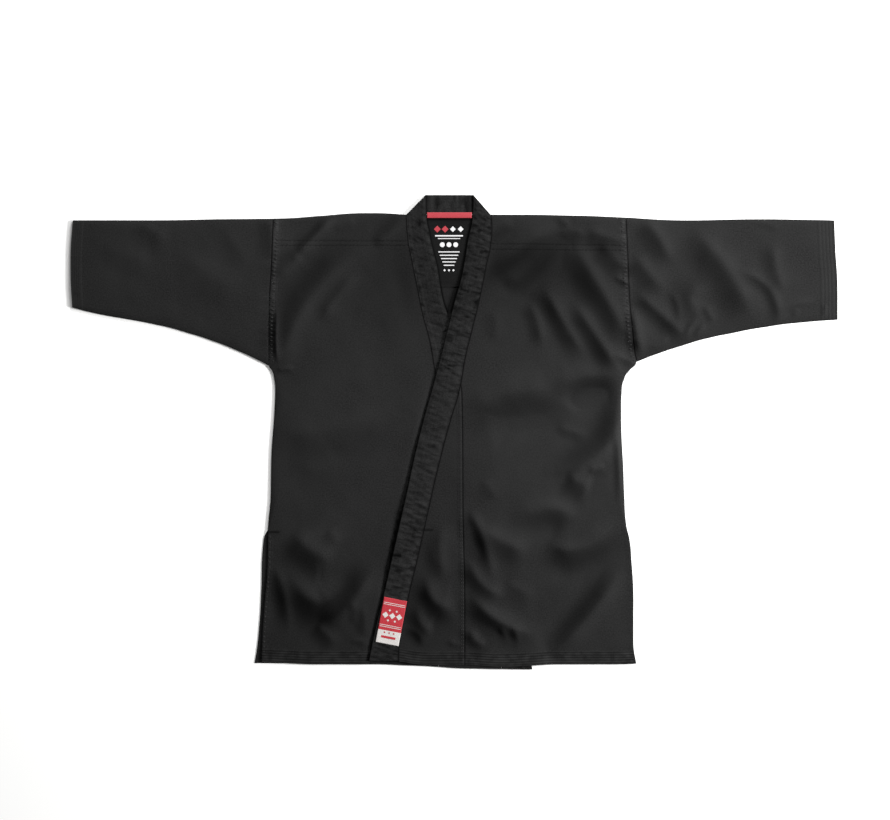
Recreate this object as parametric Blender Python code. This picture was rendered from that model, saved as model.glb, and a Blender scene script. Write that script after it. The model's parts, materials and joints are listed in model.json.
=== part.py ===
"""Karate jacket, laid flat with its front up and its left front crossed over its right.

Sizes are in millimetres until a mesh is made. X runs towards the wearer's left, Y towards the
neck and Z up from the surface that the jacket lies on. Left and right are the wearer's.
"""

from collections import namedtuple

import bmesh
import bpy
import numpy as np

MM = 0.001

# Thickness of each kind of cloth, and the air left between two pieces
CLOTH = 1.2
YOKE = 1.0
BAND = 3.0
TRIM = 1.0
GAP = 0.3
HEM_DEPTH = 22.0
HEM_EXTRA = 0.6
CUFF_DEPTH = 16.0
CUFF_EXTRA = 0.5
TURNING = 3.0

# How high the upper layer stands over the back, and over how long a run it rises there
REST = CLOTH + GAP
YOKE_TOP = REST + YOKE
LIFT = 2.2
LIFT_RUN = 7.0
VENT_RUN = 40.0
HEM_RUN = 50.0
SWELL = 1.0
SWELL_RUN = 90.0
YOKE_INSET = 7.0
YOKE_NECK_INSET = 2.0
YOKE_FOOT = 261.0
YOKE_LEAD = 12.0
RISEN = 1.2
BAND_GRIP = 28.0
BAND_STEP = 0.5
VENT_HOLD = 0.75
HEM_HOLD = 0.65

# Where the right front sinks under the left lapel, and where the left front rises over the hidden
# overlap and lapel: each is a distance before an edge or seam and the run over which it happens
SINK_LEAD = 30.0
SINK_RUN = 60.0
OVERLAP_LEAD = 8.0
OVERLAP_RUN = 40.0
LAPEL_LEAD = 50.0
LAPEL_RUN = 38.0
CROSSING_FOOT = 118.0
CROSSING_RUN = 47.0
HEM_FLOOR_RUN = 15.0
OVERLAP_AIR = 0.6
LAPEL_AIR = 0.1

# The body's rows run from a level hem to a level shoulder before they take the real lines
SHOULDER_LEVEL = 390.0
HEM_LEVEL = -418.0
RIGHT_ARMPIT = 119.0
LEFT_ARMPIT = 126.0
PLAN_PASSES = 30

# The flat back needs few rows and columns, closest at the armpits, the vents and the neck's corners
BACK_LEVELS = (-418, -380, -284, -222, -193, -177, -165, -90, -20, 43, 76, 97, 110, 119, 127, 160, 196,
               232, 268, 304, 340, 384, 390)
BACK_COLUMNS = (0.0, 0.08, 0.17, 0.26, 0.339, 0.377, 0.5, 0.617, 0.655, 0.74, 0.83, 0.92, 1.0)

# Outlines seen from above. Each row is an x and the y of the line there.
TOP_LINE = ((-686, 381), (-547, 381), (-421, 383), (-325, 384), (-238, 389), (-151, 394), (-110, 393),
            (-86, 391), (66, 391), (119, 391), (194, 390), (310, 386), (425, 381), (540, 383), (634, 382),
            (684, 381))
RIGHT_UNDERARM = ((-687, 224), (-648, 214), (-540, 194), (-475, 177), (-432, 163), (-389, 146),
                  (-360, 133), (-333, 119))
LEFT_UNDERARM = ((328, 126), (367, 141), (410, 155), (454, 168), (497, 177), (562, 189), (626, 197),
                 (690, 202))
BACK_HEM = ((-359, -416), (0, -417), (328, -416))
RIGHT_HEM = ((-347, -414), (-302, -416), (-238, -418), (-153, -418), (-86, -420), (-22, -423),
             (4, -425), (47, -426), (141, -427))
LEFT_HEM = ((-154, -412), (-99, -413), (-74, -417), (-41, -419), (11, -419), (83, -422), (140, -420),
            (194, -418), (281, -418), (328, -417))

# Seams and free edges seen from above. Each row is a y and the x of the line there.
RIGHT_CUFF = ((224, -687), (300, -690), (381, -686))
LEFT_CUFF = ((202, 690), (247, 690), (328, 686), (381, 684))
RIGHT_OUTER = ((384, -325), (290, -329), (238, -332), (148, -333), (119, -333), (111, -328), (97, -324),
               (76, -322), (43, -323), (-50, -329), (-113, -330), (-176, -335), (-234, -336),
               (-302, -341), (-383, -346), (-414, -347))
LEFT_OUTER = ((386, 309), (326, 312), (234, 316), (187, 320), (142, 325), (126, 328), (112, 317),
              (97, 307), (72, 302), (43, 301), (-68, 305), (-122, 307), (-166, 310), (-193, 316),
              (-223, 319), (-329, 323), (-374, 323), (-416, 328))
RIGHT_BACK_VENT = ((-176, -335), (-194, -343), (-284, -347), (-364, -352), (-416, -359))
LEFT_BACK_VENT = ((-166, 310), (-193, 311), (-329, 318), (-416, 323))
RIGHT_FREE = ((425, -51), (394, -50), (361, -45), (328, -38), (296, -30), (247, -22), (203, -8),
              (166, 4), (92, 23), (0, 49), (-111, 74), (-209, 95), (-320, 121), (-427, 141))
RIGHT_SEAM = ((390, -86), (348, -83), (315, -77), (250, -64), (211, -56), (162, -43), (86, -29),
              (26, -7), (-53, 13), (-173, 40), (-310, 73), (-427, 86))
LEFT_FREE = ((425, 35), (399, 34), (341, 24), (283, 14), (235, 1), (172, -15), (91, -36), (0, -61),
             (-111, -86), (-209, -108), (-292, -127), (-373, -146), (-413, -154))
LEFT_SEAM = ((392, 66), (367, 68), (340, 66), (301, 58), (241, 46), (182, 32), (122, 18), (86, 12),
             (26, -5), (-53, -26), (-126, -43), (-233, -67), (-304, -84), (-383, -99), (-414, -100))
RIGHT_OVERLAP_SEAM = ((86, -29), (-427, -28))
LEFT_OVERLAP_SEAM = ((86, 12), (62, 14), (-158, 16), (-315, 19), (-419, 19))
NECK_BAND_RIGHT = ((391.8, -85.5), (426.6, -51))
NECK_BAND_LEFT = ((391.8, 65.5), (426.6, 35))
RIGHT_VENT_TOP = -176.0
LEFT_VENT_TOP = -166.0
OVERLAP_APEX = 86.0
RIGHT_OVERLAP_TOP = 76.0
LEFT_OVERLAP_TOP = 70.0

# Underside of the collar band above the surface. Each row is a y and the height there.
RIGHT_BAND_HEIGHT = ((427, 3.3), (360, 3.3), (252, 2.9), (215, 1.9), (150, 1.5), (-427, 1.5))
LEFT_FREE_HEIGHT = ((427, 3.3), (330, 3.3), (225, 5.4), (120, 5.8), (0, 7.2), (-180, 8.0), (-290, 6.0),
                    (-427, 4.3))
LEFT_SEAM_HEIGHT = ((427, 3.3), (330, 3.3), (215, 5.2), (30, 5.2), (-60, 4.3), (-427, 4.3))

# How much further up the band's free edge lies than its seam edge. Each row is a y and that rise.
RIGHT_SKEW = ((390, 35), (340, 18), (280, 12), (-380, 12), (-426, -0.8))
LEFT_SKEW = ((392, 33), (340, 18), (280, 12), (-380, 12), (-414, 1))

# A sleeve's length and middle height, the distance of its edges from the plan's lines for the
# outer and the inner face, and the places of its stations as shares of its length
SLEEVE_LENGTH = 362.0
SLEEVE_MIDDLE = 250.0
SLEEVE_OUTER_INSET = 0.9
SLEEVE_INNER_INSET = 1.7
SLEEVE_NEAR_SEAM = (0.0, 0.02)
SLEEVE_STATIONS = (0.055, 0.94, 19)

# Middle and half width of the neck's opening
NECK_MIDDLE = -8.0
NECK_HALF_WIDTH = 45.0
NECK_RUN = 15.0

# The tape across the back of the neck as two corners, and the four corners of the label
TAPE_BOX = ((-48.6, 385), (32.0, 395))
LABEL_CORNERS = ((-141, -377), (-100, -385), (-84.5, -304), (-125.5, -296))

# The largest folds. Each runs through three points along its dark slope, with its lit slope on the
# left of the way. Then come its height, the width of the dark slope, the reach of the lit one and
# how deep the cloth sinks beside the dark one, as a share of the height.
Fold = namedtuple("Fold", "start middle end height steep soft dip", defaults=(0.3,))
LEFT_FOLDS = (
    Fold((54, 280), (115, 322), (193, 360), 7.5, 24, 18, 0.5),
    Fold((98, 258), (130, 287), (178, 332), 5.5, 20, 14, 0.4),
    Fold((159, 254), (189, 198), (229, 134), 6.0, 17, 13),
    Fold((213, 222), (252, 166), (294, 102), 7.5, 19, 14),
    Fold((211, 326), (264, 238), (308, 158), 7.5, 25, 15),
    Fold((236, 356), (272, 344), (308, 334), 4.4, 19, 12),
    Fold((258, 332), (280, 310), (302, 286), 4.5, 22, 12),
    Fold((64, 348), (84, 363), (104, 374), 3.8, 12, 9),
    Fold((14, 28), (100, 58), (197, 63), 5.5, 32, 38, 0.9),
    Fold((188, 72), (235, 92), (295, 90), 6.0, 21, 22, 0.9),
    Fold((302, 80), (264, -22), (182, -60), 9.0, 26, 14, 0.2),
    Fold((200, -84), (221, -99), (241, -108), 5.0, 24, 14),
    Fold((112, -170), (168, -146), (213, -164), 5.5, 24, 18, 0.5),
    Fold((170, -214), (232, -216), (294, -171), 8.0, 24, 14),
    Fold((23, -147), (46, -192), (64, -265), 5.5, 16, 12),
    Fold((43, -180), (83, -205), (126, -223), 6.0, 24, 16),
    Fold((21, -229), (46, -278), (88, -299), 5.5, 17, 13),
    Fold((26, -300), (76, -346), (136, -370), 10.0, 20, 16),
    Fold((25, -354), (35, -378), (60, -389), 6.0, 14, 11),
    Fold((292, -248), (238, -324), (176, -388), 9.5, 20, 20, 0.4),
    Fold((-61, -260), (-41, -308), (-3, -323), 9.0, 20, 15),
    Fold((-75, -310), (-64, -347), (-43, -363), 8.0, 16, 12),
    Fold((-28, -168), (-33, -215), (-24, -264), 4.0, 18, 12),
    Fold((337, 375), (361, 346), (381, 305), 5.5, 20, 11),
    Fold((321, 315), (341, 284), (371, 252), 5.2, 20, 13),
    Fold((326, 245), (366, 210), (417, 165), 6.0, 15, 12),
    Fold((424, 350), (482, 284), (524, 202), 8.0, 30, 16),
    Fold((456, 264), (418, 247), (437, 200), 4.5, 19, 11),
    Fold((568, 338), (573, 292), (586, 252), 4.4, 16, 11),
    Fold((317, 218), (324, 178), (331, 136), 6.2, 13, 10),
)
RIGHT_FOLDS = (
    Fold((-282, 321), (-299, 305), (-326, 286), 3.4, 16, 10),
    Fold((-178, 332), (-272, 242), (-318, 134), 6.5, 28, 20),
    Fold((-87, 391), (-118, 362), (-144, 345), 3.4, 14, 9),
    Fold((-297, -190), (-264, -220), (-226, -240), 7.5, 28, 20),
    Fold((-306, -262), (-248, -316), (-198, -284), 12.0, 30, 20),
    Fold((-153, -242), (-196, -306), (-238, -335), 8.5, 22, 18),
    Fold((-326, -248), (-311, -292), (-303, -354), 5.0, 14, 9),
    Fold((-251, -352), (-236, -366), (-216, -385), 4.2, 16, 11),
)
FOLD_STEPS = 14
FOLD_REACH = 0.12
FOLD_TAPER = 0.32
FOLD_CREST = 0.4
FOLD_BLUNT = 0.3
FOLD_TAIL = 0.72
FOLD_DIP_AT = 1.6

# Colours as linear red, green and blue
CHARCOAL = (0.021, 0.021, 0.023)
DARK_LINING = (0.012, 0.012, 0.013)
TAPE_RED = (0.72, 0.075, 0.085)
LABEL_RED = (0.58, 0.035, 0.052)


def clear_scene():
    for item in list(bpy.data.objects):
        bpy.data.objects.remove(item, do_unlink=True)


def ease(t):
    """Smooth step from 0 to 1."""
    t = np.clip(t, 0.0, 1.0)
    return t * t * (3.0 - 2.0 * t)


def higher(a, b, softness=0.8):
    """The greater of two heights, with the corner between them rounded upwards."""
    return 0.5 * (a + b + np.sqrt((a - b) ** 2 + softness ** 2))


def smooth_line(rows):
    """A function through a table's points that stays level past its ends and never overshoots."""
    table = np.array(sorted(rows), float)
    at = table[:, 0]
    value = table[:, 1]
    step = np.diff(at)
    slope = np.diff(value) / step
    tangent = np.zeros(len(at))
    tangent[0] = slope[0]
    tangent[-1] = slope[-1]
    for k in range(1, len(at) - 1):
        if slope[k - 1] * slope[k] > 0.0:
            before = 2.0 * step[k] + step[k - 1]
            after = step[k] + 2.0 * step[k - 1]
            tangent[k] = (before + after) / (before / slope[k - 1] + after / slope[k])

    def line(where):
        where = np.clip(np.asarray(where, float), at[0], at[-1])
        k = np.clip(np.searchsorted(at, where, side="right") - 1, 0, len(at) - 2)
        t = (where - at[k]) / step[k]
        near = value[k] + tangent[k] * step[k] * t
        far = value[k + 1] - tangent[k + 1] * step[k] * (1.0 - t)
        return near + (far - near) * ease(t)

    return line


def moved(line, amount):
    """The same line, moved sideways."""
    return lambda where: line(where) + amount


top_line = smooth_line(TOP_LINE)
right_underarm = smooth_line(RIGHT_UNDERARM)
left_underarm = smooth_line(LEFT_UNDERARM)
back_hem = smooth_line(BACK_HEM)
right_hem = smooth_line(RIGHT_HEM)
left_hem = smooth_line(LEFT_HEM)
right_cuff = smooth_line(RIGHT_CUFF)
left_cuff = smooth_line(LEFT_CUFF)
right_outer = smooth_line(RIGHT_OUTER)
left_outer = smooth_line(LEFT_OUTER)
right_free = smooth_line(RIGHT_FREE)
right_seam = smooth_line(RIGHT_SEAM)
left_free = smooth_line(LEFT_FREE)
left_seam = smooth_line(LEFT_SEAM)
right_band_height = smooth_line(RIGHT_BAND_HEIGHT)
left_free_height = smooth_line(LEFT_FREE_HEIGHT)
left_seam_height = smooth_line(LEFT_SEAM_HEIGHT)


def joined(above, table, level):
    """One line above a level, and another line, given by a table, below it."""
    below = smooth_line(table)
    return lambda y: np.where(np.asarray(y) > level, above(y), below(y))


right_panel_seam = joined(right_seam, RIGHT_OVERLAP_SEAM, OVERLAP_APEX)
left_panel_seam = joined(left_seam, LEFT_OVERLAP_SEAM, OVERLAP_APEX)
right_back = joined(right_outer, RIGHT_BACK_VENT, RIGHT_VENT_TOP)
left_back = joined(left_outer, LEFT_BACK_VENT, LEFT_VENT_TOP)


def distance_to(x, y, points):
    """Shortest distance from each place to a line of points."""
    best = np.full(np.shape(x), 1.0e9)
    for (ax, ay), (bx, by) in zip(points[:-1], points[1:]):
        run = np.array((bx - ax, by - ay))
        length = run @ run
        t = np.clip(((x - ax) * run[0] + (y - ay) * run[1]) / length, 0.0, 1.0)
        best = np.minimum(best, np.hypot(x - ax - t * run[0], y - ay - t * run[1]))
    return best


def sampled(line, start, end, count, along_x):
    """Points of a line between two places."""
    where = np.linspace(start, end, count)
    if along_x:
        return np.column_stack((where, line(where)))
    return np.column_stack((line(where), where))


SHOULDER_RUNS = (
    sampled(top_line, -686, -86, 40, True),
    sampled(top_line, 66, 684, 40, True),
)
SIDE_RUNS = (
    sampled(right_underarm, -687, -333, 24, True),
    sampled(left_underarm, 328, 690, 24, True),
    sampled(right_outer, RIGHT_ARMPIT, RIGHT_VENT_TOP, 24, False),
    sampled(left_outer, LEFT_ARMPIT, LEFT_VENT_TOP, 24, False),
)
VENT_RUNS = (
    sampled(right_outer, RIGHT_VENT_TOP, -414, 12, False),
    sampled(left_outer, LEFT_VENT_TOP, -416, 12, False),
)


def fold_line(fold):
    """Points along a fold's curve."""
    start = np.array(fold.start, float)
    end = np.array(fold.end, float)
    bend = 2.0 * np.array(fold.middle, float) - 0.5 * (start + end)
    t = np.linspace(-FOLD_REACH, 1.0 + FOLD_REACH, FOLD_STEPS + 1)[:, None]
    return start * (1.0 - t) ** 2 + 2.0 * bend * t * (1.0 - t) + end * t * t


def fold_height(x, y, fold):
    """Height that one fold adds: a steep dark slope, a blunt crest and a soft lit slope."""
    points = fold_line(fold)
    nearest = np.full(np.shape(x), 1.0e9)
    offset = np.zeros(np.shape(x))
    along = np.zeros(np.shape(x))
    for k in range(FOLD_STEPS):
        ax, ay = points[k]
        run = points[k + 1] - points[k]
        t = np.clip(((x - ax) * run[0] + (y - ay) * run[1]) / (run @ run), 0.0, 1.0)
        dx = x - ax - t * run[0]
        dy = y - ay - t * run[1]
        away = np.hypot(dx, dy)
        closer = away < nearest
        nearest = np.where(closer, away, nearest)
        offset = np.where(closer, away * np.sign(run[0] * dy - run[1] * dx), offset)
        along = np.where(closer, (k + t) / FOLD_STEPS, along)
    taper = ease(along / FOLD_TAPER) * ease((1.0 - along) / FOLD_TAPER)
    crest = offset - FOLD_CREST * fold.steep
    blunt = FOLD_BLUNT * fold.steep
    tail = np.where(crest < 0.0, FOLD_TAIL * fold.steep, fold.soft)
    ridge = np.exp((blunt - np.sqrt(crest ** 2 + blunt ** 2)) / tail)
    dip = np.exp(-((crest + FOLD_DIP_AT * fold.steep) / fold.steep) ** 2)
    return fold.height * taper * (ridge - fold.dip * dip)


def relief(x, y, folds):
    """All the folds together."""
    total = np.zeros(np.shape(x))
    for fold in folds:
        total = total + fold_height(x, y, fold)
    return total


def lift(x, y, open_edge):
    """How far the upper layer stands off the back, and how free it is to fold there.

    It lies on the back along the shoulders, the underarms and the side seams, and rises inside them.
    """
    closed = np.full(np.shape(x), 1.0e9)
    for run in SHOULDER_RUNS + SIDE_RUNS:
        closed = np.minimum(closed, distance_to(x, y, run))
    vent = np.full(np.shape(x), 1.0e9)
    for run in VENT_RUNS:
        vent = np.minimum(vent, distance_to(x, y, run))
    by_edge = 1.0 - np.exp(-closed / LIFT_RUN)
    by_vent = 1.0 - VENT_HOLD * np.exp(-vent / VENT_RUN)
    by_hem = 1.0 - HEM_HOLD * np.exp(-open_edge / HEM_RUN)
    share = np.minimum(by_edge, np.minimum(by_vent, by_hem))
    swell = SWELL * (1.0 - np.exp(-(np.minimum(closed, np.minimum(vent, open_edge)) / SWELL_RUN) ** 2))
    return LIFT * share + swell, by_edge * by_hem * by_vent


def yoke_floor(y, rise):
    """Lowest that a front may lie over the shoulder lining, away from its own edges."""
    over = (rise > RISEN) & (y > YOKE_FOOT - YOKE_LEAD)
    return np.where(over, YOKE_TOP + GAP, REST)


def gripped(height, band_height, away):
    """A panel's underside, drawn to the collar band's level beside the band."""
    grip = np.exp(-(np.maximum(away, 0.0) / BAND_GRIP) ** 2)
    return height * (1.0 - grip) + (band_height + BAND_STEP) * grip


def right_bottom(x, y):
    """Underside of the right front and its overlap, which lie under the left front."""
    rise, loose = lift(x, y, y - right_hem(x))
    free = REST + rise + relief(x, y, RIGHT_FOLDS) * loose
    sunk = ease((x - left_free(y) + SINK_LEAD) / SINK_RUN)
    height = np.maximum(free * (1.0 - sunk) + REST * sunk, yoke_floor(y, rise))
    return gripped(height, right_band_height(y), right_seam(y) - x)


def left_floor(x, y):
    """Lowest that the left front may lie over the hidden right overlap and lapel."""
    below_crossing = 1.0 - ease((y - CROSSING_FOOT) / CROSSING_RUN)
    over_panel = (1.0 - ease((x - right_free(y) - OVERLAP_LEAD) / OVERLAP_RUN)) * below_crossing
    over_lapel = over_panel * ease((x - right_seam(y) + LAPEL_LEAD) / LAPEL_RUN)
    hem = 1.0 - ease((y - left_hem(x) - HEM_DEPTH) / HEM_FLOOR_RUN)
    panel = CLOTH + OVERLAP_AIR + HEM_EXTRA * hem
    return REST + over_panel * panel + over_lapel * (BAND - CLOTH + LAPEL_AIR)


def left_bottom(x, y):
    """Underside of the left front and its overlap, which lie on top."""
    rise, loose = lift(x, y, y - left_hem(x))
    free = np.maximum(REST + rise + relief(x, y, LEFT_FOLDS) * loose, yoke_floor(y, rise))
    floor = left_floor(x, y)
    height = np.where(floor > REST, higher(free, floor), free)
    return gripped(height, left_seam_height(y), x - left_seam(y))


def left_band_bottom(x, y):
    """Underside of the left lapel, which crosses over the right one."""
    across = np.clip((x - left_free(y)) / (left_seam(y) - left_free(y)), 0.0, 1.0)
    return left_free_height(y) * (1.0 - across) + left_seam_height(y) * across


def sleeve_bottom(x, y, folds, cuff):
    """Underside of a sleeve's upper layer."""
    rise, loose = lift(x, y, np.abs(cuff(y) - x))
    return np.maximum(REST + rise + relief(x, y, folds) * loose, REST)


def body_rows(highest=SHOULDER_LEVEL):
    """Fractions of the way from hem to shoulder, closer together where the form turns."""
    step = HEM_LEVEL + HEM_DEPTH
    levels = [HEM_LEVEL, HEM_LEVEL + 9.0, step - TURNING / 2, step + TURNING / 2]
    levels += list(np.linspace(-378.0, 80.0, 26))
    levels += [98.0, 110.0, RIGHT_ARMPIT, 127.0]
    levels += list(np.linspace(142.0, 358.0, 13))
    levels += [374.0, 384.0, SHOULDER_LEVEL]
    kept = [level for level in levels if level < highest - 4.0]
    return (np.array(kept + [highest]) - HEM_LEVEL) / (SHOULDER_LEVEL - HEM_LEVEL)


def columns(count, edge=0.03):
    """Fractions across a panel, with one more column close to each edge."""
    return np.concatenate(([0.0], np.linspace(edge, 1.0 - edge, count), [1.0]))


def panel_plan(rows, across, left, right, top, hem):
    """Places of a panel's grid between two side lines, a top line and a hem line."""
    s = rows[:, None]
    u = across[None, :]
    y = (HEM_LEVEL * (1.0 - s) + SHOULDER_LEVEL * s) * np.ones_like(u)
    x = np.zeros_like(y)
    for _ in range(PLAN_PASSES):
        x = left(y) * (1.0 - u) + right(y) * u
        y = hem(x) * (1.0 - s) + top(x) * s
    return x, y


def band_plan(seam, free, hem, skew, across):
    """Places of a lapel's grid: its rows start on the seam where the panel's rows do."""
    _, seam_y = panel_plan(body_rows(), np.array([0.0]), seam, seam, top_line, hem)
    free_y = seam_y + smooth_line(skew)(seam_y)
    u = across[None, :]
    x = seam(seam_y) * (1.0 - u) + free(free_y) * u
    y = seam_y * (1.0 - u) + free_y * u
    return x, y


def material(name, colour, roughness):
    made = bpy.data.materials.new(name)
    made.use_nodes = True
    shader = made.node_tree.nodes["Principled BSDF"]
    shader.inputs["Base Color"].default_value = (*colour, 1.0)
    shader.inputs["Roughness"].default_value = roughness
    shader.inputs["Metallic"].default_value = 0.0
    return made


def add_object(name, points, faces, colour, roughness):
    """Make one closed mesh object from points in millimetres."""
    mesh = bpy.data.meshes.new(name)
    mesh.from_pydata((np.asarray(points) * MM).tolist(), [], faces)
    work = bmesh.new()
    work.from_mesh(mesh)
    bmesh.ops.recalc_face_normals(work, faces=work.faces)
    work.to_mesh(mesh)
    work.free()
    mesh.materials.append(material(name + "_cloth", colour, roughness))
    made = bpy.data.objects.new(name, mesh)
    bpy.context.scene.collection.objects.link(made)
    return made


def sheet_faces(rows, across, first, flip):
    """Triangles of a grid of points."""
    faces = []
    for i in range(rows - 1):
        for j in range(across - 1):
            a = first + i * across + j
            b = a + 1
            c = a + across + 1
            d = a + across
            for face in ((a, b, c), (a, c, d)):
                faces.append(face[::-1] if flip else face)
    return faces


def wall(name, x, y, bottom, top, colour=CHARCOAL, roughness=0.85):
    """A thin closed wall between two grids that share their plan."""
    rows, across = x.shape
    under = np.column_stack((x.ravel(), y.ravel(), bottom.ravel()))
    over = np.column_stack((x.ravel(), y.ravel(), top.ravel()))
    count = rows * across
    faces = sheet_faces(rows, across, 0, True) + sheet_faces(rows, across, count, False)
    rim = list(range(across))
    rim += [i * across + across - 1 for i in range(1, rows)]
    rim += [(rows - 1) * across + j for j in range(across - 2, -1, -1)]
    rim += [i * across for i in range(rows - 2, 0, -1)]
    for a, b in zip(rim, rim[1:] + rim[:1]):
        faces.append((a, b, b + count))
        faces.append((a, b + count, a + count))
    return add_object(name, np.vstack((under, over)), faces, colour, roughness)


def turned_up(away, depth):
    """One inside a turned-up edge of that depth, nothing beyond it."""
    return 1.0 - ease((away - depth) / TURNING + 0.5)


def hem_thickness(x, y, hem):
    """One layer of cloth, and the turned-up hem's extra below."""
    return CLOTH + HEM_EXTRA * turned_up(y - hem(x), HEM_DEPTH)


def yoke_top_line(x):
    """Upper edge of the shoulder lining, which reaches higher in the neck."""
    near_neck = 1.0 - ease((np.abs(x - NECK_MIDDLE) - NECK_HALF_WIDTH) / NECK_RUN)
    return top_line(x) - YOKE_INSET + (YOKE_INSET - YOKE_NECK_INSET) * near_neck


def yoke_foot_line(x):
    """Lower edge of the shoulder lining."""
    return np.full(np.shape(x), YOKE_FOOT)


def make_back():
    rows = (np.array(BACK_LEVELS) - HEM_LEVEL) / (SHOULDER_LEVEL - HEM_LEVEL)
    x, y = panel_plan(rows, np.array(BACK_COLUMNS), moved(right_back, GAP / 2), moved(left_back, -GAP / 2),
                      top_line, back_hem)
    wall("back_panel", x, y, np.zeros_like(x), np.full_like(x, CLOTH))


def make_yoke():
    """Lining over the shoulders, inside the back. It shows in the neck."""
    x, y = panel_plan(np.linspace(0.0, 1.0, 5), np.linspace(0.0, 1.0, 31), moved(right_outer, YOKE_INSET),
                      moved(left_outer, -YOKE_INSET), yoke_top_line, yoke_foot_line)
    wall("back_yoke", x, y, np.full_like(x, REST), np.full_like(x, YOKE_TOP), DARK_LINING, 0.9)


def make_right_front():
    x, y = panel_plan(body_rows(), columns(17), moved(right_outer, GAP / 2),
                      moved(right_panel_seam, -GAP / 2), top_line, right_hem)
    bottom = right_bottom(x, y)
    wall("right_front", x, y, bottom, bottom + hem_thickness(x, y, right_hem))


def make_right_overlap():
    x, y = panel_plan(body_rows(RIGHT_OVERLAP_TOP), np.linspace(0.0, 1.0, 4),
                      moved(right_panel_seam, GAP / 2), moved(right_seam, -GAP / 2), top_line, right_hem)
    bottom = right_bottom(x, y)
    wall("right_overlap", x, y, bottom, bottom + hem_thickness(x, y, right_hem))


def make_right_lapel():
    x, y = band_plan(moved(right_seam, GAP / 2), right_free, right_hem, RIGHT_SKEW, np.linspace(0.0, 1.0, 4))
    bottom = right_band_height(y)
    wall("right_lapel", x, y, bottom, bottom + BAND)


def make_left_front():
    x, y = panel_plan(body_rows(), columns(19), moved(left_panel_seam, GAP / 2),
                      moved(left_outer, -GAP / 2), top_line, left_hem)
    bottom = left_bottom(x, y)
    wall("left_front", x, y, bottom, bottom + hem_thickness(x, y, left_hem))


def make_left_overlap():
    x, y = panel_plan(body_rows(LEFT_OVERLAP_TOP), np.linspace(0.0, 1.0, 8),
                      moved(left_seam, GAP / 2), moved(left_panel_seam, -GAP / 2), top_line, left_hem)
    bottom = left_bottom(x, y)
    wall("left_overlap", x, y, bottom, bottom + hem_thickness(x, y, left_hem))


def make_left_lapel():
    x, y = band_plan(moved(left_seam, -GAP / 2), left_free, left_hem, LEFT_SKEW, np.linspace(0.0, 1.0, 4))
    bottom = left_band_bottom(x, y)
    wall("left_lapel", x, y, bottom, bottom + BAND)


def make_neck_band():
    """The back of the collar, folded under the two lapels at its ends."""
    left = smooth_line(NECK_BAND_RIGHT)
    right = smooth_line(NECK_BAND_LEFT)
    y = np.linspace(NECK_BAND_LEFT[0][0], NECK_BAND_LEFT[1][0], 4)[:, None] * np.ones((1, 9))
    u = np.linspace(0.0, 1.0, 9)[None, :]
    x = left(y) * (1.0 - u) + right(y) * u
    wall("neck_band", x, y, np.zeros_like(x), np.full_like(x, BAND))


def make_neck_tape():
    """Red tape over the seam between the collar and the back."""
    (x0, y0), (x1, y1) = TAPE_BOX
    x, y = np.meshgrid(np.linspace(x0, x1, 9), np.linspace(y0, y1, 3))
    bottom = np.full_like(x, BAND + GAP)
    wall("neck_tape", x, y, bottom, bottom + TRIM, TAPE_RED, 0.6)


def make_label():
    """Woven label near the foot of the left lapel, made from the lapel's own top."""
    corners = np.array(LABEL_CORNERS, float)
    u = np.linspace(0.0, 1.0, 4)[None, :, None]
    v = np.linspace(0.0, 1.0, 6)[:, None, None]
    foot = corners[0] * (1.0 - u) + corners[1] * u
    head = corners[3] * (1.0 - u) + corners[2] * u
    place = foot * (1.0 - v) + head * v
    x = place[:, :, 0]
    y = place[:, :, 1]
    bottom = left_band_bottom(x, y) + BAND + GAP
    wall("lapel_label", x, y, bottom, bottom + TRIM, LABEL_RED, 0.55)


def sleeve_places(stations, across, seam, cuff, under, inset):
    """Places of a sleeve's grid, drawn in by a small amount at the fold and the underarm seam."""
    u = stations[:, None]
    v = across[None, :]
    y = SLEEVE_MIDDLE * np.ones((len(stations), len(across)))
    x = np.zeros_like(y)
    for _ in range(PLAN_PASSES):
        x = seam(y) * (1.0 - u) + cuff(y) * u
        y = (under(x) + inset) * (1.0 - v) + (top_line(x) - inset) * v
    return x, y


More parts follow.
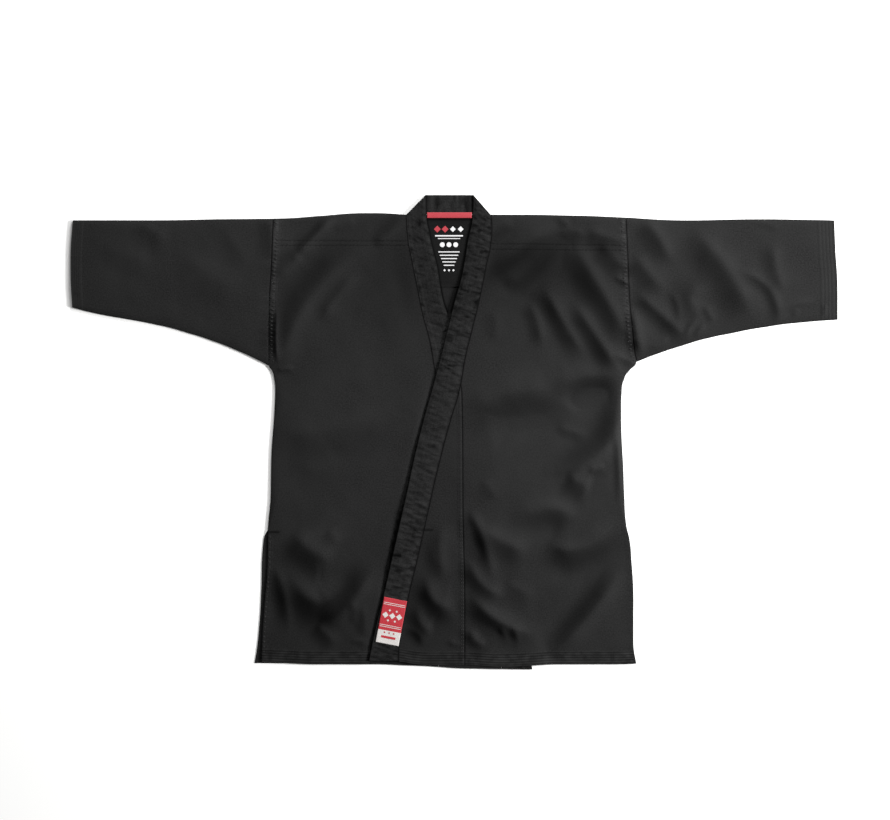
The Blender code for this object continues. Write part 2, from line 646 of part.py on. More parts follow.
def make_sleeve(name, seam, cuff, under, folds, armpit, inward):
    """A flattened tube: a flat under layer, two rounded edges and a folded upper layer."""
    cuff_places = 1.0 - np.array((CUFF_DEPTH + TURNING / 2, CUFF_DEPTH - TURNING / 2, 0.0)) / SLEEVE_LENGTH
    stations = np.concatenate((SLEEVE_NEAR_SEAM, np.linspace(*SLEEVE_STATIONS), cuff_places))
    _, seam_y = panel_plan(body_rows(), np.array([0.0]), seam, seam, top_line, left_hem)
    seam_y = seam_y.ravel()
    upper = seam_y[seam_y > armpit + 4.0]
    head = float(top_line(seam(SHOULDER_LEVEL)))
    v_top = np.concatenate(([0.0], (upper - armpit) / (head - armpit)))
    v_top[-1] = 1.0
    v_under = np.linspace(0.0, 1.0, 5)
    edge = moved(seam, -inward * GAP / 2)
    loops = []
    for outer in (True, False):
        inset = SLEEVE_OUTER_INSET if outer else SLEEVE_INNER_INSET
        x, y = sleeve_places(stations, v_under, edge, cuff, under, inset)
        low = np.dstack((x, y, np.full_like(x, 0.0 if outer else CLOTH)))
        x, y = sleeve_places(stations, v_top[::-1], edge, cuff, under, inset)
        height = sleeve_bottom(x, y, folds, cuff)
        height[:, 0] = REST
        height[:, -1] = REST
        thickness = CLOTH + CUFF_EXTRA * turned_up(np.abs(cuff(y) - x), CUFF_DEPTH)
        high = np.dstack((x, y, height + thickness if outer else height))
        mid_inset = 0.0 if outer else inset
        x, y = sleeve_places(stations, np.array([0.0, 1.0]), edge, cuff, under, mid_inset)
        turn = np.dstack((x, y, np.full_like(x, CLOTH + GAP / 2)))
        loops.append(np.concatenate((low, turn[:, 1:2], high, turn[:, 0:1]), axis=1))
    rows, around, _ = loops[0].shape
    count = rows * around
    points = np.vstack((loops[0].reshape(-1, 3), loops[1].reshape(-1, 3)))
    faces = []
    for i in range(rows - 1):
        for j in range(around):
            k = (j + 1) % around
            a, b = i * around + j, i * around + k
            d, c = a + around, b + around
            faces += [(a, b, c), (a, c, d)]
            faces += [(count + a, count + c, count + b), (count + a, count + d, count + c)]
    for i in (0, rows - 1):
        for j in range(around):
            k = (j + 1) % around
            a, b = i * around + j, i * around + k
            ring = [(a, count + b, b), (a, count + a, count + b)]
            faces += ring if i == 0 else [face[::-1] for face in ring]
    add_object(name, points, faces, CHARCOAL, 0.85)


def main():
    clear_scene()
    make_back()
    make_yoke()
    make_right_front()
    make_right_overlap()
    make_right_lapel()
    make_left_front()
    make_left_overlap()
    make_left_lapel()
    make_neck_band()
    make_neck_tape()
    make_sleeve("right_sleeve", right_outer, right_cuff, right_underarm, RIGHT_FOLDS, RIGHT_ARMPIT, 1.0)
    make_sleeve("left_sleeve", left_outer, left_cuff, left_underarm, LEFT_FOLDS, LEFT_ARMPIT, -1.0)
    make_label()


main()
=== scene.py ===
# Karate jacket laid flat, front up, its left front crossed over the right one.
# Lengths are in millimetres until a mesh is made. Left and right are the wearer's.
import json
import math
from collections import namedtuple
from functools import partial

import bpy
import numpy as np
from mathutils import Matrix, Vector

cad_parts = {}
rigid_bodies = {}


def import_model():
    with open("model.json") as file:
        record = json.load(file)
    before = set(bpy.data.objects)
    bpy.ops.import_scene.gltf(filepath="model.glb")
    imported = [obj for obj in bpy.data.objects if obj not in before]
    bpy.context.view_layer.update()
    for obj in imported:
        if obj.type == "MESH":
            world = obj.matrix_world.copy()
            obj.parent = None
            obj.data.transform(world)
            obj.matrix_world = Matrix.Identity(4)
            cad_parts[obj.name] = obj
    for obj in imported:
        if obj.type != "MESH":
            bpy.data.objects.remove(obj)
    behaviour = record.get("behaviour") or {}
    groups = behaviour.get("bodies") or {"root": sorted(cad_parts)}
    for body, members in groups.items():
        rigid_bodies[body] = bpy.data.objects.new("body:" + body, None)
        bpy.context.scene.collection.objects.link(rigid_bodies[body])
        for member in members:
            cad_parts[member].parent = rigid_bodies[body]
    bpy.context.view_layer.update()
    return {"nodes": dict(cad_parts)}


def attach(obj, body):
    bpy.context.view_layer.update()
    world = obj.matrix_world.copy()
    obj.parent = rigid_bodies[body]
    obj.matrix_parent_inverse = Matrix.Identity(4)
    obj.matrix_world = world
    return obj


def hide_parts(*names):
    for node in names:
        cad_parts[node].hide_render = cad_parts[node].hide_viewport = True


for item in list(bpy.data.objects):
    bpy.data.objects.remove(item, do_unlink=True)
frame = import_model()
mm = 0.001
print("frame loaded:", len(frame["nodes"]), "pieces")


def addObject(name, data):
    made = bpy.data.objects.new(name, data)
    bpy.context.scene.collection.objects.link(made)
    return made


# the photograph's view, straight down
view = {"pixels": 890, "pixelSize": 1.8, "centre": (-16.2, 39.6), "lens": 110.0, "farthest": 50.0}


def makeCamera():
    data = bpy.data.cameras.new("camera")
    data.lens = view["lens"]
    data.clip_end = view["farthest"]
    camera = addObject("camera", data)
    height = view["pixels"] * view["pixelSize"] * view["lens"] / data.sensor_width
    camera.location = Vector((*view["centre"], height)) * mm
    bpy.context.scene.camera = camera


makeCamera()

# layers of cloth and the air between them
layer = {"cloth": 1.2, "yoke": 1.0, "band": 3.0, "trim": 0.9, "gap": 0.3, "hemDepth": 22.0, "hemExtra": 0.6,
         "cuffExtra": 0.5, "turning": 1.6, "bandWidth": 45.0, "bandGrip": 28.0, "bandStep": 1.35}
rest = layer["cloth"] + layer["gap"]
yokeTop = rest + layer["yoke"]
gap = layer["gap"] / 2
shoulderLevel = 390.0
hemLevel = -418.0
overlapApex = 86.0
armpit = {"right": 119.0, "left": 126.0}
ventTop = {"right": -176.0, "left": -166.0}
inward = {"right": 1.0, "left": -1.0}
# lines seen from above: rows of x and y, read as y at x
acrossLines = {
    "top": ((-686, 381), (-547, 381), (-421, 383), (-325, 384), (-238, 389), (-151, 394), (-110, 393),
            (-86, 391), (66, 391), (119, 391), (194, 390), (310, 386), (425, 381), (540, 383), (634, 382),
            (684, 381)),
    "rightUnderarm": ((-687, 224), (-648, 214), (-540, 194), (-475, 177), (-432, 163), (-389, 146),
                      (-360, 133), (-333, 119)),
    "leftUnderarm": ((328, 126), (367, 141), (410, 155), (454, 168), (497, 177), (562, 189), (626, 197),
                     (690, 202)),
    "backHem": ((-359, -416), (0, -417), (328, -416)),
    "rightHem": ((-347, -414), (-302, -416), (-238, -418), (-153, -418), (-86, -420), (-22, -423),
                 (4, -425), (47, -426), (141, -427)),
    "leftHem": ((-154, -412), (-99, -413), (-74, -417), (-41, -419), (11, -419), (83, -422), (140, -420),
                (194, -418), (281, -418), (328, -417)),
}
# seams and edges seen from above: rows of y and x, read as x at y
uprightLines = {
    "rightCuff": ((224, -687), (300, -690), (381, -686)),
    "leftCuff": ((202, 690), (247, 690), (328, 686), (381, 684)),
    "rightOuter": ((384, -325), (290, -329), (238, -332), (148, -333), (119, -333), (111, -328), (97, -324),
                   (76, -322), (43, -323), (-50, -329), (-113, -330), (-176, -335), (-234, -336),
                   (-302, -341), (-383, -346), (-414, -347)),
    "leftOuter": ((386, 309), (326, 312), (234, 316), (187, 320), (142, 325), (126, 328), (112, 317),
                  (97, 307), (72, 302), (43, 301), (-68, 305), (-122, 307), (-166, 310), (-193, 316),
                  (-223, 319), (-329, 323), (-374, 323), (-416, 328)),
    "rightBackVent": ((-176, -335), (-194, -343), (-284, -347), (-364, -352), (-416, -359)),
    "leftBackVent": ((-166, 310), (-193, 311), (-329, 318), (-416, 323)),
    "rightFree": ((425, -51), (394, -50), (361, -45), (328, -38), (296, -30), (247, -22), (203, -8),
                  (166, 4), (92, 23), (0, 49), (-111, 74), (-209, 95), (-320, 121), (-427, 141)),
    "rightSeam": ((390, -86), (348, -83), (315, -77), (250, -64), (211, -56), (162, -43), (86, -29),
                  (26, -7), (-53, 13), (-173, 40), (-310, 73), (-427, 86)),
    "rightOverlapSeam": ((86, -29), (-427, -28)),
    "leftFree": ((425, 35), (399, 34), (341, 24), (283, 14), (235, 1), (172, -15), (91, -36), (0, -61),
                 (-111, -86), (-209, -108), (-292, -127), (-373, -146), (-413, -154)),
    "leftSeam": ((392, 66), (367, 68), (340, 66), (301, 58), (241, 46), (182, 32), (122, 18), (86, 12),
                 (26, -5), (-53, -26), (-126, -43), (-233, -67), (-304, -84), (-383, -99), (-414, -100)),
    "leftOverlapSeam": ((86, 12), (62, 14), (-158, 16), (-315, 19), (-419, 19)),
    "rightNeckEdge": ((391.8, -85.5), (426.6, -51)),
    "leftNeckEdge": ((391.8, 65.5), (426.6, 35)),
    # how much painted shade lies in the hollows between the collar band's gathers: y and share
    "gathers": ((425, 1.0), (100, 1.0), (50, 0.45), (-110, 0.45), (-160, 1.0), (-300, 1.1)),
    # how far the shadow beside the lapel on top reaches: y and width
    "lapelShadow": ((215, 0.4), (60, 0.6), (-60, 0.8), (-120, 1.4), (-165, 5.5), (-215, 5.0), (-250, 2.4),
                    (-300, 1.4), (-420, 0.8)),
    # underside of the collar band: y and height
    "rightBandHeight": ((427, 3.3), (360, 3.3), (252, 2.9), (215, 1.9), (150, 1.5), (-427, 1.5)),
    "leftFreeHeight": ((427, 3.3), (330, 3.3), (225, 5.4), (120, 5.4), (0, 5.6), (-90, 6.0),
                       (-150, 7.6), (-220, 8.0), (-290, 5.8), (-427, 4.3)),
    "leftSeamHeight": ((427, 3.3), (330, 3.3), (215, 5.2), (30, 5.2), (-60, 4.3), (-427, 4.3)),
    # how much further up a lapel's free edge lies than its seam edge: y and rise
    "rightSkew": ((390, 35), (340, 18), (280, 12), (-380, 12), (-426, -0.8)),
    "leftSkew": ((392, 33), (340, 18), (280, 12), (-380, 12), (-414, 1)),
}


def ease(t):
    t = np.clip(t, 0.0, 1.0)
    return t * t * (3.0 - 2.0 * t)


def bell(distance, width):
    return np.exp(-(distance / width) ** 2)


def smoothLine(rows):
    # passes through every row, stays level past the ends and never overshoots
    table = np.array(sorted(rows), float)
    at, value = table[:, 0], table[:, 1]
    step = np.diff(at)
    slope = np.diff(value) / step
    tangent = np.zeros(len(at))
    tangent[0], tangent[-1] = slope[0], slope[-1]
    for k in range(1, len(at) - 1):
        if slope[k - 1] * slope[k] > 0.0:
            before = 2.0 * step[k] + step[k - 1]
            after = step[k] + 2.0 * step[k - 1]
            tangent[k] = (before + after) / (before / slope[k - 1] + after / slope[k])

    def line(where):
        where = np.clip(np.asarray(where, float), at[0], at[-1])
        k = np.clip(np.searchsorted(at, where, side="right") - 1, 0, len(at) - 2)
        t = (where - at[k]) / step[k]
        near = value[k] + tangent[k] * step[k] * t
        far = value[k + 1] - tangent[k + 1] * step[k] * (1.0 - t)
        return near + (far - near) * ease(t)

    return line


def joined(above, below, level):
    return lambda y: np.where(np.asarray(y) > level, above(y), below(y))


def moved(line, amount):
    return lambda where: line(where) + amount


line = {name: smoothLine(rows) for name, rows in {**acrossLines, **uprightLines}.items()}
for side in ("right", "left"):
    line[side + "PanelSeam"] = joined(line[side + "Seam"], line[side + "OverlapSeam"], overlapApex)
    line[side + "Back"] = joined(line[side + "Outer"], line[side + "BackVent"], ventTop[side])

# folds: three points on the shaded slope, with the lit slope on the left of the way through them, then
# the height, the width of the shaded slope, the reach of the lit slope and the depth of the dip below
Fold = namedtuple("Fold", "startX startY middleX middleY endX endY height steep soft dip", defaults=(0.3,))
foldRows = {
    "left": (
        # chest, from the collar and shoulder to the armhole
        (54, 280, 115, 322, 193, 360, 7.5, 24, 18, 0.5),
        (98, 258, 130, 287, 178, 332, 5.5, 20, 14, 0.4),
        (159, 254, 189, 198, 229, 134, 6.0, 17, 13),
        (213, 222, 252, 166, 294, 102, 7.5, 19, 14),
        (211, 326, 264, 238, 308, 158, 7.5, 25, 15),
        (236, 356, 272, 344, 308, 334, 4.4, 19, 12),
        (258, 332, 280, 310, 302, 286, 4.5, 22, 12),
        (288, 277, 302, 270, 318, 261, 2.6, 7.2, 6),
        (288, 137, 306, 128, 326, 120, 2.7, 8.4, 6),
        (131, 228, 146, 196, 152, 156, 3.2, 13, 10),
        (62, 216, 69, 194, 66, 164, 1.8, 16, 10),
        (64, 348, 84, 363, 104, 374, 3.8, 12, 9),
        (185, 389, 196, 376, 208, 372, 2.1, 8.4, 6.8),
        (194, 350, 212, 356, 234, 346, 3.0, 16, 9),
        # ribs and waist
        (14, 28, 100, 58, 197, 63, 5.5, 32, 38, 0.9),
        (188, 72, 235, 92, 295, 90, 6.0, 21, 22, 0.9),
        (302, 80, 264, -22, 182, -60, 9.0, 26, 14, 0.2),
        (188, 2, 208, -2, 236, -12, 1.8, 11, 10),
        (245, -74, 258, -69, 270, -65, 2.6, 8.4, 6.8),
        (200, -84, 221, -99, 241, -108, 5.0, 24, 14),
        (291, -2, 294, -50, 297, -120, 3.0, 7, 6),
        (46, -94, 60, -106, 70, -124, 1.8, 16, 10),
        (112, -170, 168, -146, 213, -164, 5.5, 24, 18, 0.5),
        (170, -214, 232, -216, 294, -171, 8.0, 24, 14),
        # hip and hem
        (23, -147, 46, -192, 64, -265, 5.5, 16, 12),
        (43, -180, 83, -205, 126, -223, 6.0, 24, 16),
        (21, -229, 46, -278, 88, -299, 5.5, 17, 13),
        (26, -300, 76, -346, 136, -370, 10.0, 20, 16),
        (25, -354, 35, -378, 60, -389, 6.0, 14, 11),
        (292, -248, 238, -324, 176, -388, 9.5, 20, 20, 0.4),
        (82, -352, 88, -368, 98, -387, 2.6, 7.2, 5.2),
        (105, -350, 111, -374, 115, -398, 2.6, 7.2, 5.2),
        (90, -278, 112, -290, 138, -305, 2.6, 22, 10),
        # overlap
        (-61, -260, -41, -308, -3, -323, 9.0, 20, 15),
        (-75, -310, -64, -347, -43, -363, 8.0, 16, 12),
        (-91, -357, -70, -365, -59, -387, 5.0, 11, 8),
        (-12, -375, 2, -384, 15, -380, 2.7, 7.2, 5.2),
        (-28, -168, -33, -215, -24, -264, 4.0, 18, 12),
        (-55, -188, -47, -215, -40, -242, 1.7, 14, 9),
        # sleeve
        (337, 375, 361, 346, 381, 305, 5.5, 20, 11),
        (321, 315, 341, 284, 371, 252, 5.2, 20, 13),
        (387, 250, 399, 227, 401, 198, 2.3, 8.4, 6.8),
        (326, 245, 366, 210, 417, 165, 6.0, 15, 12),
        (424, 350, 482, 284, 524, 202, 8.0, 30, 16),
        (456, 264, 418, 247, 437, 200, 4.5, 19, 11),
        (512, 285, 566, 252, 578, 192, 4.4, 11, 9),
        (568, 338, 573, 292, 586, 252, 4.4, 16, 11),
        (532, 378, 560, 373, 582, 365, 1.6, 7.2, 6.8),
        (588, 211, 610, 226, 650, 230, 2.6, 8.4, 6.8),
        (612, 208, 617, 214, 621, 221, 2.2, 4.8, 3.8),
        (666, 229, 665, 219, 663, 209, 2.2, 4.8, 3.8),
        (449, 226, 456, 212, 465, 198, 2.3, 7.2, 5.2),
        (438, 202, 424, 192, 416, 174, 2.7, 6, 4.5),
        (449, 193, 440, 184, 432, 174, 2.3, 6, 4.5),
        (317, 218, 324, 178, 331, 136, 6.2, 13, 10),
        (352, 148, 374, 156, 386, 171, 2.1, 6, 5.2),
    ),
    "right": (
        # shoulder and chest
        (-218, 392, -256, 352, -290, 318, 5.0, 11, 9),
        (-282, 321, -299, 305, -326, 286, 3.4, 16, 10),
        (-178, 332, -272, 242, -318, 134, 6.5, 28, 20),
        (-179, 285, -218, 243, -241, 206, 3.2, 14, 10),
        (-87, 391, -118, 362, -144, 345, 3.4, 14, 9),
        (-82, 302, -72, 235, -49, 166, 1.6, 16, 9),
        (-320, 220, -322, 168, -319, 126, 2.9, 6, 4.5),
        (-317, 108, -304, 111, -290, 113, 1.7, 6, 5.2),
        (-209, 362, -196, 372, -178, 374, 1.6, 12, 9),
        # ribs and waist
        (-312, -9, -223, -11, -125, 30, 3.0, 36, 30),
        (-290, -60, -240, -76, -196, -62, 1.3, 24, 20),
        (-230, -180, -222, -190, -212, -206, 1.8, 14, 10),
        # hip and hem
        (-297, -190, -264, -220, -226, -240, 7.5, 28, 20),
        (-306, -262, -248, -316, -198, -284, 12.0, 30, 20),
        (-153, -242, -196, -306, -238, -335, 8.5, 22, 18),
        (-326, -248, -311, -292, -303, -354, 5.0, 14, 9),
        (-251, -352, -236, -366, -216, -385, 4.2, 16, 11),
        (-186, -304, -182, -324, -183, -344, 1.8, 7.2, 6),
        (-168, -312, -165, -340, -167, -366, 2.2, 11, 7.5),
        (-182, -382, -172, -378, -160, -382, 2.1, 7.2, 6),
        # sleeve
        (-563, 375, -547, 355, -518, 344, 2.6, 19, 16),
        (-342, 382, -333, 353, -336, 316, 2.6, 15, 14),
        (-492, 312, -448, 270, -390, 240, 2.1, 34, 24),
        (-640, 330, -590, 306, -548, 300, 1.3, 24, 20),
        (-420, 358, -396, 330, -386, 300, 1.6, 19, 15),
    ),
}
folds = {side: [Fold(*row) for row in rows] for side, rows in foldRows.items()}
# where a fold's crest, dip, painted highlight and painted shade lie and how fast it falls off, as shares of
# its two widths, and the shares of its length over which it runs past its end points and fades out
foldShape = {"steps": 14, "beyond": 0.12, "fade": 0.32, "crestAt": 0.4, "blunt": 0.3, "tail": 0.72,
             "dipAt": 1.6, "highlightShare": 0.5, "highlightAt": 0.5, "highlightWidth": 0.8, "deepAt": 0.85,
             "fullTone": 7.0, "steepReach": 3.0, "softReach": 3.5}


def foldPoints(fold):
    return np.reshape(fold[:6], (3, 2)).astype(float)


def foldHeight(x, y, fold):
    # height, and painted tone: a painted highlight on the crest and lit slope, and painted shade on the
    # shaded slope
    shape = foldShape
    start, middle, end = foldPoints(fold)
    bend = 2.0 * middle - 0.5 * (start + end)
    t = np.linspace(-shape["beyond"], 1.0 + shape["beyond"], shape["steps"] + 1)[:, None]
    points = start * (1.0 - t) ** 2 + 2.0 * bend * t * (1.0 - t) + end * t * t
    nearest = np.full(np.shape(x), np.inf)
    offset = np.zeros(np.shape(x))
    along = np.zeros(np.shape(x))
    for k, run in enumerate(np.diff(points, axis=0)):
        fromX, fromY = x - points[k][0], y - points[k][1]
        t = np.clip((fromX * run[0] + fromY * run[1]) / (run @ run), 0.0, 1.0)
        dx, dy = fromX - t * run[0], fromY - t * run[1]
        away = np.hypot(dx, dy)
        closer = away < nearest
        nearest = np.where(closer, away, nearest)
        offset = np.where(closer, away * np.sign(run[0] * dy - run[1] * dx), offset)
        along = np.where(closer, (k + t) / shape["steps"], along)
    fade = ease(along / shape["fade"]) * ease((1.0 - along) / shape["fade"])
    crest = offset - shape["crestAt"] * fold.steep
    blunt = shape["blunt"] * fold.steep
    away = np.sqrt(crest ** 2 + blunt ** 2) - blunt
    ridge = np.exp(-away / np.where(crest < 0.0, shape["tail"] * fold.steep, fold.soft))
    dip = bell(crest + shape["dipAt"] * fold.steep, fold.steep)
    lightened = bell(crest - shape["highlightAt"] * fold.soft, shape["highlightWidth"] * fold.soft)
    deep = bell(crest + shape["deepAt"] * fold.steep, shape["deepAt"] * fold.steep)
    tone = min(fold.height / shape["fullTone"], 1.0) * (shape["highlightShare"] * lightened - deep)
    return fade * fold.height * (ridge - fold.dip * dip), fade * tone


def relief(x, y, side):
    # height, and painted highlight and shade, of all folds of one side
    x, y = np.broadcast_arrays(np.asarray(x, float), np.asarray(y, float))
    height, tone = np.zeros(x.shape), np.zeros(x.shape)
    for fold in folds[side]:
        corners = foldPoints(fold)
        reach = fold.steep * foldShape["steepReach"] + fold.soft * foldShape["softReach"]
        low, high = corners.min(axis=0) - reach, corners.max(axis=0) + reach
        near = (x > low[0]) & (x < high[0]) & (y > low[1]) & (y < high[1])
        if near.any():
            more = foldHeight(x[near], y[near], fold)
            height[near] += more[0]
            tone[near] += more[1]
    return height, tone


# soft noise runs on a square of random numbers that repeats, and starts far inside it
noiseGrid = {"cells": 211, "startX": 1055.3, "startY": 1055.7}


def softNoise(x, y, size, seed):
    # smooth random height between -1 and 1, about one hill in every size by size
    sizeX, sizeY = size if isinstance(size, tuple) else (size, size)
    cells = noiseGrid["cells"]
    lattice = np.random.default_rng(seed).uniform(-1.0, 1.0, (cells, cells))
    gx, gy = x / sizeX + noiseGrid["startX"], y / sizeY + noiseGrid["startY"]
    ix, iy = np.floor(gx).astype(int), np.floor(gy).astype(int)
    fx, fy = ease(gx - ix), ease(gy - iy)
    low, high = [lattice[ix % cells, k % cells] * (1 - fx) + lattice[(ix + 1) % cells, k % cells] * fx
                 for k in (iy, iy + 1)]
    return low * (1 - fy) + high * fy


def distanceTo(x, y, runs):
    best = np.full(np.shape(x), np.inf)
    for points in runs:
        for (ax, ay), (bx, by) in zip(points[:-1], points[1:]):
            runX, runY = bx - ax, by - ay
            t = np.clip(((x - ax) * runX + (y - ay) * runY) / (runX ** 2 + runY ** 2), 0.0, 1.0)
            best = np.minimum(best, np.hypot(x - ax - t * runX, y - ay - t * runY))
    return best


def acrossRun(name, start, end, count=36):
    x = np.linspace(start, end, count)
    return np.column_stack((x, line[name](x)))


def uprightRun(name, start, end, count=24):
    y = np.linspace(start, end, count)
    return np.column_stack((line[name](y), y))


# edges where the two layers are joined, and edges where they part below the vents
closedRuns = (
    acrossRun("top", -686, -86), acrossRun("top", 66, 684),
    acrossRun("rightUnderarm", -687, -333), acrossRun("leftUnderarm", 328, 690),
    uprightRun("rightOuter", armpit["right"], ventTop["right"]),
    uprightRun("leftOuter", armpit["left"], ventTop["left"]),
)
ventRuns = (
    uprightRun("rightOuter", ventTop["right"], -414), uprightRun("leftOuter", ventTop["left"], -416),
)
# fine unevenness of cloth that was washed and smoothed out by hand: size and height of each kind
unevenness = {"turn": 0.6, "kinds": ((64.0, 0.9), (27.0, 0.34), (11.5, 0.10)), "firstSeed": 5}


def clothUnevenness(x, y):
    cosine, sine = math.cos(unevenness["turn"]), math.sin(unevenness["turn"])
    turnX, turnY = x * cosine + y * sine, y * cosine - x * sine
    total = np.zeros(np.shape(x))
    for seed, (size, height) in enumerate(unevenness["kinds"], unevenness["firstSeed"]):
        total = total + height * softNoise(turnX, turnY, size, seed)
    return total


# how the upper layer stands off the back: the height, the run over which it rises from a joined edge, a vent
# and a hem, how much of it a vent and a hem hold down, and the slow swell towards the middle
standing = {"lift": 2.2, "run": 7.0, "ventRun": 40.0, "ventHold": 0.75, "hemRun": 50.0, "hemHold": 0.65,
            "swell": 1.0, "swellRun": 90.0}


def lift(x, y, openEdge):
    closed, vent = distanceTo(x, y, closedRuns), distanceTo(x, y, ventRuns)
    byEdge = 1.0 - np.exp(-closed / standing["run"])
    byVent = 1.0 - standing["ventHold"] * np.exp(-vent / standing["ventRun"])
    byHem = 1.0 - standing["hemHold"] * np.exp(-openEdge / standing["hemRun"])
    share = np.minimum(byEdge, np.minimum(byVent, byHem))
    inner = np.minimum(closed, np.minimum(vent, openEdge))
    swell = standing["swell"] * (1.0 - bell(inner, standing["swellRun"]))
    return standing["lift"] * share + swell, byEdge * byHem * byVent


def loosely(x, y, side, openEdge):
    # height of the underside of a free layer, and how high it stands off the back
    rise, loose = lift(x, y, openEdge)
    return rest + rise + (relief(x, y, side)[0] + clothUnevenness(x, y)) * loose, rise


yokeEdge = {"inset": 7.0, "neckInset": 2.0, "foot": 261.0, "lead": 24.0, "run": 12.0, "risen": 1.2}
# the left front rises over the hidden overlap and lapel: distances before and after their edges
crossing = {"foot": 118.0, "run": 47.0, "overlapLead": 8.0, "overlapRun": 40.0, "lapelLead": 50.0,
            "lapelRun": 38.0, "hemRun": 15.0, "overlapAir": 0.6, "lapelRise": 1.9, "blend": 0.8}
# the right front sinks under the free edge of the left lapel
sinking = {"lead": 13.0, "run": 24.0}


def yokeFloor(y, rise):
    over = ease((y - yokeEdge["foot"] + yokeEdge["lead"]) / yokeEdge["run"])
    return np.where(rise > yokeEdge["risen"], rest + (yokeTop + layer["gap"] - rest) * over, rest)


def gripped(height, fromSeam, seamHeight):
    # the collar band holds the front at its own height
    grip = bell(np.maximum(fromSeam, 0.0), layer["bandGrip"])
    return height * (1.0 - grip) + (seamHeight + layer["bandStep"]) * grip


def rightUnder(x, y):
    free, rise = loosely(x, y, "right", y - line["rightHem"](x))
    hidden = ease((x - line["leftFree"](y) + sinking["lead"]) / sinking["run"])
    height = np.maximum(free * (1.0 - hidden) + rest * hidden, yokeFloor(y, rise))
    return gripped(height, line["rightSeam"](y) - x, line["rightBandHeight"](y))


def leftFloor(x, y):
    low = 1.0 - ease((y - crossing["foot"]) / crossing["run"])
    beyond = x - line["rightFree"](y) - crossing["overlapLead"]
    overPanel = (1.0 - ease(beyond / crossing["overlapRun"])) * low
    overLapel = overPanel * ease((x - line["rightSeam"](y) + crossing["lapelLead"]) / crossing["lapelRun"])
    hem = 1.0 - ease((y - line["leftHem"](x) - layer["hemDepth"]) / crossing["hemRun"])
    panel = layer["cloth"] + crossing["overlapAir"] + layer["hemExtra"] * hem
    return rest + overPanel * panel + overLapel * crossing["lapelRise"]


def leftUnder(x, y):
    free, rise = loosely(x, y, "left", y - line["leftHem"](x))
    free = np.maximum(free, yokeFloor(y, rise))
    floor = leftFloor(x, y)
    higher = 0.5 * (free + floor + np.sqrt((free - floor) ** 2 + crossing["blend"] ** 2))
    height = np.where(floor > rest + 0.01, higher, free)
    return gripped(height, x - line["leftSeam"](y), line["leftSeamHeight"](y))


def sleeveUnder(x, y, side):
    return np.maximum(loosely(x, y, side, np.abs(line[side + "Cuff"](y) - x))[0], rest)


frontUnder = {"right": rightUnder, "left": leftUnder}

# sewing: where the rows of stitches lie and how they draw the cloth in
sewing = {
    "hemRows": (3.0, 7.6, 12.2, 16.8, 21.4),
    "rightCuffRows": (3.5, 7.0, 10.5, 14.0, 17.5),
    "leftCuffRows": (4.0, 10.5, 17.0, 23.5, 30.0),
    "bandRows": (0.07, 0.24, 0.42, 0.60, 0.78, 0.94),
    "neckRows": (397.5, 403.0, 408.5, 414.0, 419.5, 424.0),
    "rightYokeRows": (((-320, 344), (-86, 343)), ((-320, 335), (-85, 335))),
    "leftYokeRows": (((67, 338), (311, 335)), ((66, 328), (311, 326))),
    "grooveWidth": 1.1, "grooveDepth": 0.28, "seamDepth": 1.3, "yokeDepth": 1.7, "puckerPitch": 6.5,
    "armholeFoot": 119.0, "tackLevel": -176.0,
}
# the thread draws the cloth in at every few stitches: pitch and height, and how both wander
tick = {"pitch": 7.6, "height": 0.6, "drift": 1.5, "driftSize": 40.0, "share": 0.6, "shareSize": 23.0}
# seam allowances that are stitched down: where the ridge starts and ends and over what run, its height, the
# share, middle, width and seed of its ticks, the reach, height and seed of its gathers, and its rows
Allowance = namedtuple("Allowance", "start startRun end endRun height ticks tickAt tickWidth tickSeed "
                       "reach gather seed seamDepth rowDepth rows")
allowances = {
    "armhole": Allowance(-0.5, 2.0, 11.5, 2.5, 0.4, 1.0, 6.5, 5.0, 35, 12.0, 0.5, 31, 1.3, 0.9, (2.0, 11.0)),
    "vent": Allowance(-9.0, 1.0, 8.0, 2.0, 0.35, 0.8, 4.0, 3.5, 37, 8.0, 0.3, 33, 0.0, 1.0, (7.0,)),
    "overlap": Allowance(-0.6, 1.2, 8.2, 2.0, 0.35, 0.5, 4.0, 3.0, 45, 9.0, 0.35, 41, 1.3, 0.9, (0.8, 7.4)),
}
gatherAt = 4.0


def groove(distance, depth=1.0):
    return -depth * sewing["grooveDepth"] * bell(distance, sewing["grooveWidth"])


def grooves(distance, rows, depth=1.0):
    return sum(groove(distance - row, depth) for row in rows)


def pucker(distance, along, reach, height, seed):
    # short gathers across a seam, where the thread draws the cloth in
    pitch = sewing["puckerPitch"]
    return height * bell(distance, reach) * softNoise(along, distance, (pitch, 4.0 * reach), seed)


def turnedUp(distance, depth, height):
    # a hem or cuff is raised as far as its last row of stitches
    return height * (1.0 - ease((distance - depth - 0.6) / layer["turning"]))


def ticks(along, seed):
    level = np.zeros(np.shape(along))
    drift = tick["drift"] * softNoise(along, level, tick["driftSize"], seed)
    share = tick["share"] * (1.0 + softNoise(along, level, tick["shareSize"], seed + 1))
    return tick["height"] * share * np.sin(along * (2.0 * math.pi / tick["pitch"]) + drift)


def allowanceDetail(inside, along, name):
    a = allowances[name]
    ridge = a.height * ease((inside - a.start) / a.startRun) * (1.0 - ease((inside - a.end) / a.endRun))
    ticked = a.ticks * ticks(along, a.tickSeed) * bell(inside - a.tickAt, a.tickWidth)
    gathered = pucker(inside - gatherAt, along, a.reach, a.gather, a.seed)
    return ridge + ticked + gathered + groove(inside, a.seamDepth) + grooves(inside, a.rows, a.rowDepth)


def atArmhole(y, run=8.0):
    return ease((y - sewing["armholeFoot"]) / run)


